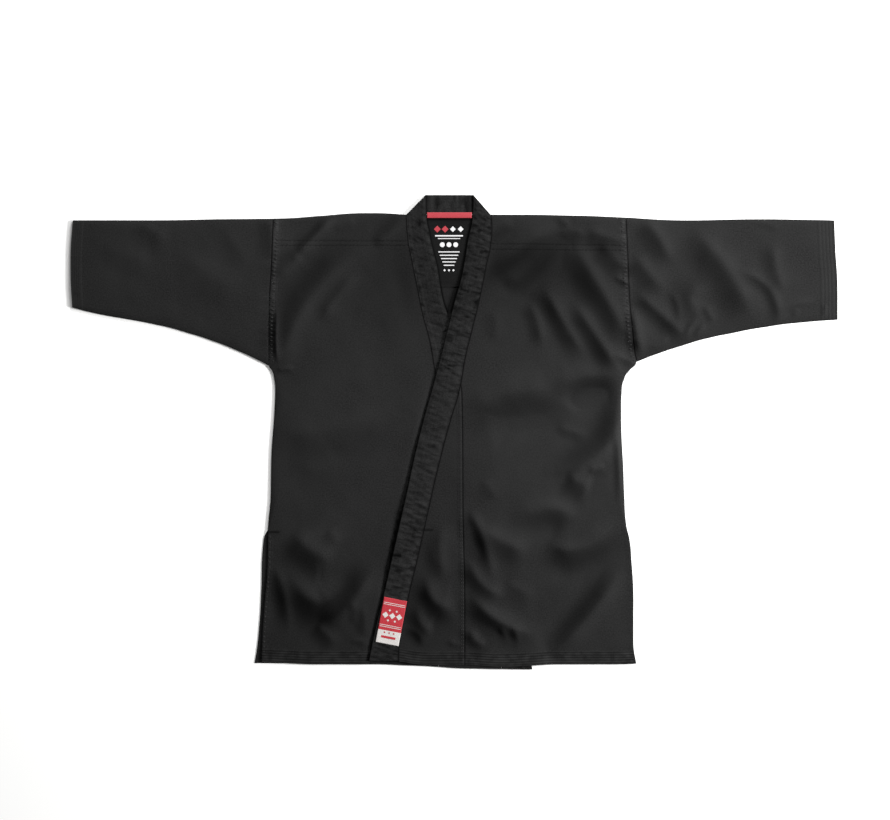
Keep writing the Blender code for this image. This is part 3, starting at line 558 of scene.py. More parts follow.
def rowLevel(x, row):
    (startX, startY), (endX, endY) = row
    return startY + (endY - startY) * (x - startX) / (endX - startX)


def frontTop(x, y, side):
    # upper side of a front and its overlap: hem, armhole, vent, yoke rows and the overlap's seam
    above = y - line[side + "Hem"](x)
    detail = turnedUp(above, layer["hemDepth"], layer["hemExtra"]) + grooves(above, sewing["hemRows"])
    detail = detail + pucker(above - 12.0, x, 13.0, 0.28, 21)
    inside = inward[side] * (x - line[side + "Outer"](y))
    detail = detail + atArmhole(y) * allowanceDetail(inside, y, "armhole")
    detail = detail + ease((ventTop[side] - y) / 3.0) * allowanceDetail(inside, y, "vent")
    for row in sewing[side + "YokeRows"]:
        level = rowLevel(np.clip(x, row[0][0], row[1][0]), row)
        detail = detail + groove(y - level, sewing["yokeDepth"]) * ease((inside + 1.0) / 2.0)
    if side == "left":
        low = ease((overlapApex + 4.0 - y) / 14.0)
        detail = detail + low * allowanceDetail(line["leftOverlapSeam"](y) - x, y, "overlap")
    return frontUnder[side](x, y) + layer["cloth"] + detail


def sleeveTop(x, y, side):
    toCuff = np.abs(line[side + "Cuff"](y) - x)
    rows = sewing[side + "CuffRows"]
    detail = turnedUp(toCuff, rows[-1], layer["cuffExtra"]) + grooves(toCuff, rows)
    detail = detail + pucker(toCuff - rows[-1] / 2, y, 0.6 * rows[-1] + 2.0, 0.26, 51)
    outside = np.abs(line[side + "Outer"](y) - x)
    ticked = 0.7 * ticks(y, allowances["armhole"].tickSeed) * bell(outside, 3.0)
    detail = detail + ticked + groove(outside, sewing["seamDepth"])
    detail = detail + pucker(outside, y, 14.0, 0.6, allowances["armhole"].seed)
    return sleeveUnder(x, y, side) + layer["cloth"] + detail


# creases across the collar band, beside its even puckers: y, slant, height, width
bandCreases = {
    "left": (
        (372, 0.30, 1.1, 4.5), (352, 0.42, 1.3, 4.0), (336, 0.30, 1.0, 4.0), (312, 0.35, 1.2, 5.0),
        (285, 0.35, 1.2, 4.5), (264, 0.25, 1.5, 4.0), (244, 0.40, 2.0, 4.5), (229, 0.50, 1.9, 4.0),
        (204, 0.30, 1.0, 5.0), (118, 0.28, 1.0, 5.0), (96, 0.20, 0.8, 4.5), (20, 0.30, 0.9, 5.0),
        (4, 0.30, 0.8, 4.0), (-26, 0.35, 0.9, 5.0), (-60, 0.30, 1.1, 5.0), (-150, 0.20, 0.8, 5.0),
        (-176, 0.25, 1.0, 4.0), (-247, 0.20, 1.0, 4.0), (-262, 0.25, 1.2, 4.0), (-281, 0.20, 1.2, 4.0),
    ),
    "right": (
        (372, -0.30, 0.9, 4.5), (352, -0.35, 1.0, 5.0), (330, -0.45, 1.2, 5.0), (312, -0.50, 1.2, 4.0),
        (296, -0.55, 1.7, 4.5), (279, -0.60, 1.4, 4.0), (262, -0.60, 1.6, 4.5), (238, -0.60, 1.4, 4.0),
        (218, -0.50, 1.2, 4.0), (200, -0.50, 1.2, 4.0),
    ),
}
# even puckers of the band: size, slant and height of the fine and middle ones, and how flat the seam and the
# fold hold its edges; above the waist the free edge sinks a little
quilting = {"fine": (13.0, 3.6), "fineSlant": 0.25, "fineHeight": 0.9, "fineSharpness": 0.8,
            "middle": (26.0, 9.0), "middleSlant": -0.15, "middleHeight": 0.65, "heldShare": 0.35,
            "heldRun": 9.0, "rowDepth": 0.7, "deepest": 0.3, "edgeSink": 1.3, "edgeReach": 5.5,
            "leftSeed": 61, "rightSeed": 71}


def bandAcross(x, y, side):
    free, seam = line[side + "Free"](y), line[side + "Seam"](y)
    return np.clip((x - free) / (seam - free), 0.0, 1.0)


def bandUnder(x, y, side):
    if side == "right":
        return line["rightBandHeight"](y)
    across = bandAcross(x, y, "left")
    return line["leftFreeHeight"](y) * (1.0 - across) + line["leftSeamHeight"](y) * across


def bandDetail(width, along, seed):
    fine = softNoise(width, along + quilting["fineSlant"] * width, quilting["fine"], seed)
    middle = softNoise(width, along + quilting["middleSlant"] * width, quilting["middle"], seed + 1)
    puckers = quilting["fineHeight"] * np.sign(fine) * np.abs(fine) ** quilting["fineSharpness"]
    puckers = puckers + quilting["middleHeight"] * middle
    stitched = np.minimum.reduce([groove(width - row * layer["bandWidth"], quilting["rowDepth"])
                                  for row in sewing["bandRows"]])
    toEdge = np.minimum(width, layer["bandWidth"] - width)
    held = quilting["heldShare"] + (1.0 - quilting["heldShare"]) * ease(toEdge / quilting["heldRun"])
    return puckers * held + stitched


def bandTop(x, y, side):
    across = bandAcross(x, y, side)
    width = across * layer["bandWidth"]
    top = bandUnder(x, y, side) + layer["band"] - quilting["deepest"]
    top = top + bandDetail(width, y, quilting[side + "Seed"])
    top = top - quilting["edgeSink"] * bell(width, quilting["edgeReach"]) * ease((y + 60.0) / 120.0)
    reach = ease(across / 0.12) * ease((1.0 - across) / 0.12)
    for level, slant, height, run in bandCreases[side]:
        away = (y - level - slant * (across - 0.5) * layer["bandWidth"]) / run
        top = top + height * reach * (bell(away - 0.8, 1.0) - 0.9 * bell(away + 0.4, 1.0))
    return top


print("surfaces described:", len(folds["left"]) + len(folds["right"]), "folds")


# colours are sRGB hex; one function turns them to linear
def linear(hexColour):
    parts = [int(hexColour[k:k + 2], 16) / 255.0 for k in (0, 2, 4)]
    return tuple(c / 12.92 if c <= 0.04045 else ((c + 0.055) / 1.055) ** 2.4 for c in parts) + (1.0,)


def addNode(tree, kind, settings=(), values=(), links=()):
    node = tree.nodes.new(kind)
    for name, value in dict(settings).items():
        setattr(node, name, value)
    for name, value in dict(values).items():
        node.inputs[name].default_value = value
    for name, source in dict(links).items():
        tree.links.new(source, node.inputs[name])
    return node


def startMaterial(name, values):
    material = bpy.data.materials.new(name)
    material.use_nodes = True
    tree = material.node_tree
    shader = tree.nodes["Principled BSDF"]
    for socket, value in values.items():
        shader.inputs[socket].default_value = value
    return material, tree, shader


def noise(tree, scale, detail, vector):
    return addNode(tree, "ShaderNodeTexNoise", {}, {"Scale": scale, "Detail": detail},
                   {"Vector": vector}).outputs[0]


def stripes(tree, width, direction, distortion, vector):
    return addNode(tree, "ShaderNodeTexWave", {"wave_type": "BANDS", "bands_direction": direction},
                   {"Scale": 0.5 / (width * mm), "Distortion": distortion, "Detail": 2.0},
                   {"Vector": vector}).outputs["Fac"]


def mixed(tree, share, start, end):
    # a mix of two colours: the end is hex, and the start hex or a socket
    node = addNode(tree, "ShaderNodeMix", {"data_type": "RGBA"}, {7: linear(end)}, {0: share})
    if isinstance(start, str):
        node.inputs[6].default_value = linear(start)
    else:
        tree.links.new(start, node.inputs[6])
    return node.outputs[2]


def stretched(tree, value, low, high, most):
    return addNode(tree, "ShaderNodeMapRange", {}, {"From Min": low, "From Max": high, "To Min": 0.0,
                   "To Max": most}, {"Value": value}).outputs[0]


def addBump(tree, shader, height, strength, distance):
    bump = addNode(tree, "ShaderNodeBump", {}, {"Strength": strength, "Distance": distance * mm},
                   {"Height": height})
    tree.links.new(bump.outputs["Normal"], shader.inputs["Normal"])


def cottonDrill(name, settings):
    # piece-dyed cotton drill: matt, speckled by its yarn, faded in patches, with a twill line.
    # The real twill line is 0.6 mm wide. It is drawn wider so that it shows at this distance.
    material, tree, shader = startMaterial(name, {
        "Roughness": 0.88, "Specular IOR Level": 0.04, "Sheen Weight": settings["sheen"],
        "Sheen Roughness": 0.3, "Sheen Tint": linear("8C8C8C")})
    uv = addNode(tree, "ShaderNodeUVMap", {"uv_map": "cloth"}).outputs["UV"]
    speckle = noise(tree, 1.0 / (settings["speckle"] * mm), 2.0, uv)
    mottle = noise(tree, 1.0 / (settings["mottle"] * mm), 3.0, uv)
    twill = stripes(tree, settings["twill"], "DIAGONAL", 1.5, uv)
    colour = mixed(tree, stretched(tree, speckle, 0.3, 0.7, 1.0), settings["dark"], settings["light"])
    patches = stretched(tree, mottle, 0.35, 0.65, settings["mottleShare"])
    colour = mixed(tree, patches, colour, settings["light"])
    # lightened by abrasion and painted highlights, then darkened by painted shade and darker patches
    for attribute, end in (("wear", settings["lighter"]), ("crease", settings["deep"])):
        share = addNode(tree, "ShaderNodeAttribute", {"attribute_name": attribute}).outputs["Fac"]
        colour = mixed(tree, share, colour, end)
    tree.links.new(colour, shader.inputs["Base Color"])
    weave = addNode(tree, "ShaderNodeMath", {"operation": "MULTIPLY_ADD"}, {1: 0.6}, {0: twill, 2: speckle})
    addBump(tree, shader, weave.outputs[0], settings["bump"], 0.4)
    return material


# the lighter colour is laid on for abrasion and painted highlights, the darkened one for painted shade and
# darker patches
drill = {"dark": "181818", "light": "272727", "lighter": "373737", "deep": "040404", "speckle": 2.4,
         "mottle": 70.0, "mottleShare": 0.35, "twill": 2.0, "bump": 0.35, "sheen": 0.02}
bodyCloth = cottonDrill("cottonDrill", drill)
bandCloth = cottonDrill("quiltedCottonDrill", {**drill, "dark": "161616", "light": "252525", "bump": 0.45})
liningCloth = cottonDrill("liningDrill", {**drill, "dark": "0E0E0E", "light": "171717", "sheen": 0.01})


def plainThread(name, dark, light, roughness):
    # matt thread, gathered cloth or ink in one colour, uneven from fibre to fibre
    material, tree, shader = startMaterial(name, {"Roughness": roughness, "Specular IOR Level": 0.08})
    place = addNode(tree, "ShaderNodeTexCoord").outputs["Object"]
    tree.links.new(mixed(tree, noise(tree, 900.0, 1.0, place), dark, light), shader.inputs["Base Color"])
    return material


def ribbedRibbon(name, dark, light, rib, sheen):
    # woven polyester ribbon or label: fine even ribs across it and a soft satin gloss
    material, tree, shader = startMaterial(name, {"Roughness": 0.55, "Sheen Weight": sheen})
    uv = addNode(tree, "ShaderNodeUVMap", {"uv_map": "cloth"}).outputs["UV"]
    ribs = stripes(tree, rib, "X", 0.3, uv)
    share = addNode(tree, "ShaderNodeMath", {"operation": "MULTIPLY"}, {},
                    {0: ribs, 1: noise(tree, 700.0, 2.0, uv)}).outputs[0]
    tree.links.new(mixed(tree, share, dark, light), shader.inputs["Base Color"])
    addBump(tree, shader, ribs, 0.4, 0.15)
    return material


blackThread = plainThread("blackThread", "060606", "121212", 0.8)
# the cloth gathered between stitches is a lighter copy of the drill's colour: a painted highlight on the
# ridges
highlightedGatheredCloth = plainThread("highlightedGatheredDrill", "202020", "2E2E2E", 0.9)
tapeRibbon = ribbedRibbon("redTwillTape", "922630", "BE3C45", 1.1, 0.0)
labelRed = ribbedRibbon("redWovenLabel", "A01C28", "C62C3A", 0.9, 0.05)
labelWhite = ribbedRibbon("whiteWovenLabel", "BDB9B6", "DEDAD7", 0.9, 0.05)
printWhite = plainThread("whiteScreenPrint", "B8B8B8", "DCDCDC", 0.7)
print("materials made")

# how a grid closes up at the edges of the cloth, how thin the rounded edge is, and how far it is rubbed
edge = {"offsets": (0.0, 0.25, 0.6, 1.2, 2.2), "clear": 3.4, "wall": 0.25, "wear": 0.15, "wearReach": 1.2,
        "sharpAngle": 65.0}


def spacing(low, high, step, fine=(), fineStep=1.2):
    # places from low to high, closer together inside each fine stretch
    stops = [low]
    while stops[-1] < high - 1e-6:
        here = stops[-1]
        close = any(start - step <= here < end for start, end in fine)
        stops.append(min(here + (fineStep if close else step), high))
    if len(stops) > 2 and stops[-1] - stops[-2] < 0.4 * fineStep:
        del stops[-2]
    return np.array(stops)


def withEdges(stops):
    # adds close places at both ends, where the edge of the cloth is rounded
    low, high = stops[0], stops[-1]
    middle = [s for s in stops if low + edge["clear"] < s < high - edge["clear"]]
    return np.array([low + o for o in edge["offsets"]] + middle + [high - o for o in edge["offsets"][::-1]])


def panelPlan(rows, across, left, right, top, hem):
    # x and y of a grid between four lines that each depend on the other coordinate
    s, u = rows[:, None], across[None, :]
    y = (hemLevel * (1.0 - s) + shoulderLevel * s) * np.ones_like(u)
    for _ in range(20):
        x = left(y) * (1.0 - u) + right(y) * u
        y = hem(x) * (1.0 - s) + top(x) * s
    return x, y


def bodyRows(highest=shoulderLevel, step=2.4):
    # closest at the hem, the armpits and the yoke's rows
    fine = ((hemLevel, hemLevel + 26.0), (104.0, 124.0), (324.0, 352.0))
    levels = withEdges(spacing(hemLevel, highest, step, fine))
    return (levels - hemLevel) / (shoulderLevel - hemLevel)


def shares(width, fine=(), step=3.7):
    return withEdges(spacing(0.0, width, step, fine)) / width


def borderDistance(x, y, sides):
    # distance of every point of a grid from the named sides of the grid
    lengthJ = np.hypot(np.diff(x, axis=1), np.diff(y, axis=1))
    lengthI = np.hypot(np.diff(x, axis=0), np.diff(y, axis=0))
    fromLeft = np.concatenate((np.zeros((x.shape[0], 1)), np.cumsum(lengthJ, axis=1)), axis=1)
    fromLow = np.concatenate((np.zeros((1, x.shape[1])), np.cumsum(lengthI, axis=0)), axis=0)
    reach = {"left": fromLeft, "right": fromLeft[:, -1:] - fromLeft,
             "low": fromLow, "high": fromLow[-1:, :] - fromLow}
    return np.minimum.reduce([reach[name] for name in sides.split()])


def gridFaces(rows, across, first, flip):
    i, j = np.meshgrid(np.arange(rows - 1), np.arange(across - 1), indexing="ij")
    a = (first + i * across + j).ravel()
    quads = np.column_stack((a, a + 1, a + across + 1, a + across))
    return quads[:, ::-1] if flip else quads


def planArea(x, y):
    # flat area of a grid in square metres
    a = (x[1:, 1:] - x[:-1, :-1]) * (y[1:, :-1] - y[:-1, 1:])
    b = (x[1:, :-1] - x[:-1, 1:]) * (y[1:, 1:] - y[:-1, :-1])
    return float(np.abs(0.5 * (a - b)).sum()) * mm * mm


def makeMesh(name, points, faces, uv, materials, faceMaterial=None, **attributes):
    mesh = bpy.data.meshes.new(name)
    mesh.from_pydata((np.asarray(points) * mm).tolist(), [], [tuple(int(k) for k in f) for f in faces])
    corner = np.zeros(len(mesh.loops), np.int32)
    mesh.loops.foreach_get("vertex_index", corner)
    uvMap = mesh.uv_layers.new(name="cloth")
    uvMap.data.foreach_set("uv", (np.asarray(uv) * mm)[corner].astype(np.float32).ravel())
    for attributeName, values in attributes.items():
        attribute = mesh.attributes.new(attributeName, "FLOAT", "POINT")
        attribute.data.foreach_set("value", np.asarray(values, np.float32).ravel())
    for material in materials:
        mesh.materials.append(material)
    if faceMaterial is not None:
        mesh.polygons.foreach_set("material_index", np.asarray(faceMaterial, np.int32))
    mesh.validate()
    mesh.shade_smooth()
    mesh.set_sharp_from_angle(angle=math.radians(edge["sharpAngle"]))
    return addObject(name, mesh)


def shell(name, x, y, under, over, materials, uv=None, wear=0.0, crease=0.0, faceMaterial=None, roundOff=1.2,
          freeSides="left right low high", seamed=None):
    # a closed thin wall whose upper edge is rounded along its free sides, apart from where it is seamed.
    # Its lightening share takes abraded edges and painted highlights, and its darkening share takes painted
    # shade and darker patches.
    rows, across = x.shape
    distance = borderDistance(x, y, freeSides)
    if seamed is not None:
        distance = np.minimum(distance + 100.0 * seamed, borderDistance(x, y, "low high"))
    rounding = np.sqrt(np.clip(1.0 - (1.0 - np.clip(distance / roundOff, 0.0, 1.0)) ** 2, 0.0, 1.0))
    over = under + edge["wall"] + (over - under - edge["wall"]) * rounding
    uv = np.dstack((x, y)) if uv is None else uv
    wear = np.clip(wear + edge["wear"] * np.exp(-distance / edge["wearReach"]), 0.0, 1.0)
    crease = np.clip(crease + np.zeros_like(x), 0.0, 1.0)
    points = [np.column_stack((x.ravel(), y.ravel(), z.ravel())) for z in (under, over)]
    count = rows * across
    numbers = np.arange(count).reshape(rows, across)
    rim = np.concatenate((numbers[0], numbers[1:, -1], numbers[-1, -2::-1], numbers[-2:0:-1, 0]))
    after = np.roll(rim, -1)
    faces = [gridFaces(rows, across, 0, True), gridFaces(rows, across, count, False),
             np.column_stack((rim, after, after + count, rim + count))]
    if faceMaterial is not None:
        faceMaterial = np.concatenate((np.tile(faceMaterial.ravel(), 2), np.zeros(len(rim), np.int32)))
    return makeMesh(name, np.vstack(points), np.vstack(faces), np.tile(uv.reshape(-1, 2), (2, 1)), materials,
                    faceMaterial, wear=np.tile(wear.ravel(), 2), crease=np.tile(crease.ravel(), 2))


def finishPiece(piece):
    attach(piece, "root")


def finishSheet(piece, node):
    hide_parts(node)
    finishPiece(piece)


# little light gets in beside the two lapels, under the tape and where the lapels cross
shade = {"rightReach": 2.4, "leftReach": 2.8, "tapeAt": 383.0, "tapeReach": 3.0, "tapeShare": 0.8,
         "crossFoot": 215.0, "crossHead": 300.0, "backFoot": 200.0, "backHalf": 30.0, "backShare": 0.35}


def neckShadow(x, y):
    beside = np.maximum(bell(x - line["rightFree"](y), shade["rightReach"]),
                        bell(line["leftFree"](y) - x, shade["leftReach"]))
    tape = shade["tapeShare"] * bell(y - shade["tapeAt"], shade["tapeReach"])
    return np.maximum(beside, tape)


def makeBack():
    x, y = panelPlan(bodyRows(step=5.0), shares(650.0, ((308.0, 352.0),), 9.0),
                     moved(line["rightBack"], gap), moved(line["leftBack"], -gap), line["top"],
                     line["backHem"])
    over = layer["cloth"] + grooves(y - line["backHem"](x), sewing["hemRows"], 0.8)
    crossed = neckShadow(x, y) * (y > shade["crossFoot"]) * (y < shade["crossHead"])
    crease = crossed + shade["backShare"] * (y > shade["backFoot"]) * (np.abs(x) < shade["backHalf"])
    piece = shell("backPanel", x, y, np.zeros_like(x), over, [bodyCloth], crease=crease)
    finishSheet(piece, "back_panel")


def yokeHead(x):
    # the yoke's upper edge comes closer to the neck seam than to the shoulder folds
    nearNeck = 1.0 - ease((np.abs(x + 8.0) - 45.0) / 15.0)
    return line["top"](x) - yokeEdge["inset"] + (yokeEdge["inset"] - yokeEdge["neckInset"]) * nearNeck


def makeYoke():
    inset, foot, height = yokeEdge["inset"], yokeEdge["foot"], 130.0
    rows, across = withEdges(np.linspace(0.0, height, 40)) / height, shares(630.0, ((260.0, 370.0),), 9.0)
    x, y = panelPlan(rows, across, moved(line["rightOuter"], inset), moved(line["leftOuter"], -inset),
                     yokeHead, partial(np.full_like, fill_value=foot))
    over = yokeTop + groove(y - foot - 2.5) + 0.12 * softNoise(x, y, 22.0, 91)
    piece = shell("backYoke", x, y, np.full_like(x, rest), over, [liningCloth], crease=neckShadow(x, y))
    finishSheet(piece, "back_yoke")


# places made darker, and lighter: middle x and y, reach across and up, share
darkerPatches = ((70, 300, 150, 90, 0.30), (-90, 290, 120, 110, 0.28), (215, 290, 110, 90, 0.22),
           (-225, -330, 130, 95, 0.24), (-45, -330, 70, 110, 0.26), (-20, -60, 60, 160, 0.10))
lighterPatches = ((190, -40, 130, 150, 0.14), (-560, 300, 200, 90, 0.07), (-230, -20, 110, 150, 0.06))
# folds get a painted highlight on the crest and lit slope and painted shade in the hollow; armholes and hems
# are lighter from abrasion
wearAndFoldLight = {"crest": 0.16, "hollow": 0.36, "deepest": 0.7, "armhole": 0.35, "armholeAt": 5.0,
           "armholeReach": 6.0, "hem": 0.42, "even": 0.5, "patchy": 0.9, "patch": 7.0}


def around(x, y, places):
    return sum(share * bell(x - middleX, reachX) * bell(y - middleY, reachY)
               for middleX, middleY, reachX, reachY, share in places)


# the painted highlight and painted shade of the folds, with the lighter and darker patches
def foldLightAndPatches(x, y, side):
    tone = relief(x, y, side)[1]
    depth = wearAndFoldLight["hollow"] * np.clip(-tone, 0.0, 1.2) + around(x, y, darkerPatches)
    lightened = wearAndFoldLight["crest"] * np.clip(tone, 0.0, 1.0) + around(x, y, lighterPatches)
    return lightened, np.clip(depth, 0.0, wearAndFoldLight["deepest"])


def seamWearAndHighlight(x, y, side):
    # seams and hems are lighter from abrasion, and the painted highlights of the folds and the lighter
    # patches are added
    inside = np.abs(x - line[side + "Outer"](y))
    armhole = wearAndFoldLight["armhole"] * bell(inside - wearAndFoldLight["armholeAt"], wearAndFoldLight["armholeReach"])
    above = y - line[side + "Hem"](x)
    hem = wearAndFoldLight["hem"] * (1.0 - ease((above - layer["hemDepth"]) / 2.0))
    patches = wearAndFoldLight["even"] + wearAndFoldLight["patchy"] * softNoise(x, y, wearAndFoldLight["patch"], 14)
    return np.clip((armhole * atArmhole(y) + hem) * patches + foldLightAndPatches(x, y, side)[0], 0.0, 1.0)


def leftMarks(x, y):
    # painted shade in the overlap's seam and in the dent under the bar tack
    overlap = 0.8 * bell(x - line["leftOverlapSeam"](y), 1.0) * (y < overlapApex)
    return [overlap, 0.85 * bell(y - sewing["tackLevel"], 1.6) * ease((-37.0 - x) / 2.0)]


def rightMarks(x, y):
    # the painted shadow beside the lapel that lies on top, and painted shade in the dent at the head of the
    # vent
    under = line["leftFree"](y) - x
    shadow = ease((line["lapelShadow"](y) + 1.2 - under) / 2.4) * ease((under + 14.0) / 4.0)
    vent = 0.9 * bell(y - ventTop["right"] + 4.0, 1.8)
    return [shadow * (y < shade["crossFoot"]) * ease((y - line["leftHem"](x) + 1.0) / 3.0),
            vent * ease((24.0 - np.abs(x - line["rightOuter"](y))) / 3.0)]


def bodyShadeAndPatches(x, y, side):
    # painted shade in the armhole and collar seams, in the marks of one side and along the rows of the yoke
    # and the hem, then the painted shade of the folds and the darker patches
    marks = [0.9 * bell(x - line[side + "Outer"](y), 1.1) * atArmhole(y, 6.0),
             0.85 * bell(x - line[side + "Seam"](y), 1.3)]
    marks += leftMarks(x, y) if side == "left" else rightMarks(x, y)
    broken = 0.30 + 0.25 * np.sin(x * (2.0 * math.pi / tick["pitch"]))
    broken = broken * (np.abs(x) < 320.0)
    marks += [broken * bell(y - rowLevel(x, row), 1.2) for row in sewing[side + "YokeRows"]]
    marks += [0.75 * bell(y - line[side + "Hem"](x) - row, 1.0) for row in sewing["hemRows"]]
    total = np.maximum.reduce(marks)
    return total + foldLightAndPatches(x, y, side)[1] * (1.0 - total)


def makePanel(side, part, rows, across, edges, freeSides, seamedFrom=None, hidden=False):
    # a front or an overlap; the hidden one gets no abrasion, painted highlight, painted shade or darker
    # patches
    x, y = panelPlan(rows, across, moved(line[edges[0]], gap), moved(line[edges[1]], -gap), line["top"],
                     line[side + "Hem"])
    looks = {} if hidden else {"wear": seamWearAndHighlight(x, y, side), "crease": bodyShadeAndPatches(x, y, side)}
    piece = shell(side + part.capitalize(), x, y, frontUnder[side](x, y), frontTop(x, y, side), [bodyCloth],
                  freeSides=freeSides, seamed=seamedFrom and ease((y - seamedFrom) / 4.0), **looks)
    finishSheet(piece, side + "_" + part)


# marks of the collar band: its abraded strip, painted shade in the hollows between its gathers, at its seam
# and at its fold, and darker towards the neck
bandMarks = {"lighter": 0.12, "wornAt": 0.85, "wornReach": 4.0, "fine": (11.0, 2.9), "coarse": (18.0, 7.0),
             "coarseShare": 0.35, "coarseSlant": -0.2, "hollow": 0.6, "from": 0.2, "seam": 0.85,
             "seamReach": 1.1, "fold": 0.9, "foldReach": 1.5, "above": 0.22, "leftSlant": 0.3,
             "rightSlant": -0.4}
# painted shade of the dent where the tack holds the left band: level at the fold, slant, share, reach, and
# where it ends in the width
lapelTack = {"level": -221.0, "slant": -0.12, "share": 1.1, "reach": 3.4, "end": 18.0, "run": 4.0}


def lapelShadeAndDarkening(x, y, side):
    # painted shade at the band's seam and fold, in the hollows between its gathers and in the tack's dent,
    # and darker towards the neck
    marks = bandMarks
    width = bandAcross(x, y, side) * layer["bandWidth"]
    hollow = softNoise(width, y + marks[side + "Slant"] * width, marks["fine"], 66)
    coarse = softNoise(width, y + marks["coarseSlant"] * width, marks["coarse"], 67)
    hollow = hollow + marks["coarseShare"] * coarse
    edges = marks["seam"] * bell(layer["bandWidth"] - width, marks["seamReach"])
    edges = edges + marks["fold"] * bell(width, marks["foldReach"])
    gathers = marks["hollow"] * line["gathers"](y) * ease((-hollow - marks["from"]) / 0.6)
    crease = np.maximum(edges, gathers + marks["above"] * ease((y - 150.0) / 100.0))
    if side == "left":
        dent = bell(y - lapelTack["level"] - lapelTack["slant"] * width, lapelTack["reach"])
        dent = lapelTack["share"] * dent * ease((lapelTack["end"] - width) / lapelTack["run"])
        crease = np.maximum(crease, dent)
    return crease


def makeLapel(side):
    seam, free = moved(line[side + "Seam"], inward[side] * gap), line[side + "Free"]
    _, seamY = panelPlan(bodyRows(step=2.2), np.array([0.0]), line[side + "Seam"], line[side + "Seam"],
                         line["top"], line[side + "Hem"])
    freeY = seamY + line[side + "Skew"](seamY)
    # columns run towards the left in both lapels
    u = shares(layer["bandWidth"], step=1.9)[None, ::int(inward[side])]
    x = seam(seamY) * (1.0 - u) + free(freeY) * u
    y = seamY * (1.0 - u) + freeY * u
    width = np.hypot(np.diff(x, axis=1), np.diff(y, axis=1)).sum(axis=1).mean()
    across = bandAcross(x, y, side)
    fromStrip = (across - bandMarks["wornAt"]) * layer["bandWidth"]
    wear = bandMarks["lighter"] * bell(fromStrip, bandMarks["wornReach"])
    piece = shell(side + "Lapel", x, y, bandUnder(x, y, side), bandTop(x, y, side), [bandCloth],
                  uv=np.dstack((u * width * np.ones_like(x), y)), wear=wear, roundOff=1.0,
                  freeSides="low high " + side, crease=lapelShadeAndDarkening(x, y, side))
    finishSheet(piece, side + "_lapel")


def makeNeckBand():
    y = withEdges(np.linspace(391.8, 426.6, 20))[:, None]
    u = shares(110.0, step=2.2)[None, :]
    x = line["rightNeckEdge"](y) * (1.0 - u) + line["leftNeckEdge"](y) * u
    y = y * np.ones_like(x)
    over = layer["band"] - 0.65 + grooves(y, sewing["neckRows"], 0.4)
    over = over + 0.85 * softNoise(x, y, (5.0, 13.0), 81) + 0.9 * softNoise(x, y, (11.0, 19.0), 82)
    ends = np.minimum(x - line["rightFree"](y), line["leftFree"](y) - x)
    # painted shade at both ends, where the band meets the lapels, and darker in random patches
    crease = 0.85 * (1.0 - ease((ends - 1.0) / 4.0))
    crease = crease + 0.5 * ease(-softNoise(x, y, (9.0, 24.0), 83) * 2.0 - 0.6)
    piece = shell("neckBand", x, y, np.zeros_like(x), np.clip(over, 0.8, 3.2), [bandCloth], roundOff=1.0,
                  crease=crease)
    finishSheet(piece, "neck_band")


# a sleeve is a flattened tube; how far its outer and inner wall keep inside its outline
tube = {"length": 362.0, "step": 3.8, "fineStep": 1.3, "underPlaces": 16, "outerInset": 0.9,
        "innerInset": 1.7}


def sleevePlaces(side, across, inset):
    # x and y of a grid that runs along the sleeve, from the armhole to the cuff
    seam = moved(line[side + "Outer"], -inward[side] * gap)
    length, depth = tube["length"], sewing[side + "CuffRows"][-1]
    fine = ((0.0, 6.0), (length - depth - 3.0, length))
    u, v = (spacing(0.0, length, tube["step"], fine, tube["fineStep"]) / length)[:, None], across[None, :]
    y = np.full((len(u), len(across)), 250.0)
    for _ in range(30):
        x = seam(y) * (1.0 - u) + line[side + "Cuff"](y) * u
        y = (line[side + "Underarm"](x) + inset) * (1.0 - v) + (line["top"](x) - inset) * v
    return x, y


def sleeveWall(side, upper, outer):
    # one wall of the tube: lower layer, fold along the shoulder, upper layer, seam along the underarm
    inset = tube["outerInset"] if outer else tube["innerInset"]
    x, y = sleevePlaces(side, np.linspace(0.0, 1.0, tube["underPlaces"]), inset)
    low = np.dstack((x, y, np.full_like(x, 0.0 if outer else layer["cloth"])))
    x, y = sleevePlaces(side, upper[::-1], inset)
    height = sleeveTop(x, y, side) if outer else sleeveUnder(x, y, side)
    if not outer:
        toEdge = np.minimum(line["top"](x) - y, y - line[side + "Underarm"](x)) - inset
        height = np.where(toEdge < 0.5, rest, height)
    high = np.dstack((x, y, height))
    x, y = sleevePlaces(side, np.array([0.0, 1.0]), 0.0 if outer else inset)
    turn = np.dstack((x, y, np.full_like(x, layer["cloth"] + gap)))
    return np.concatenate((low, turn[:, 1:2], high, turn[:, 0:1]), axis=1)


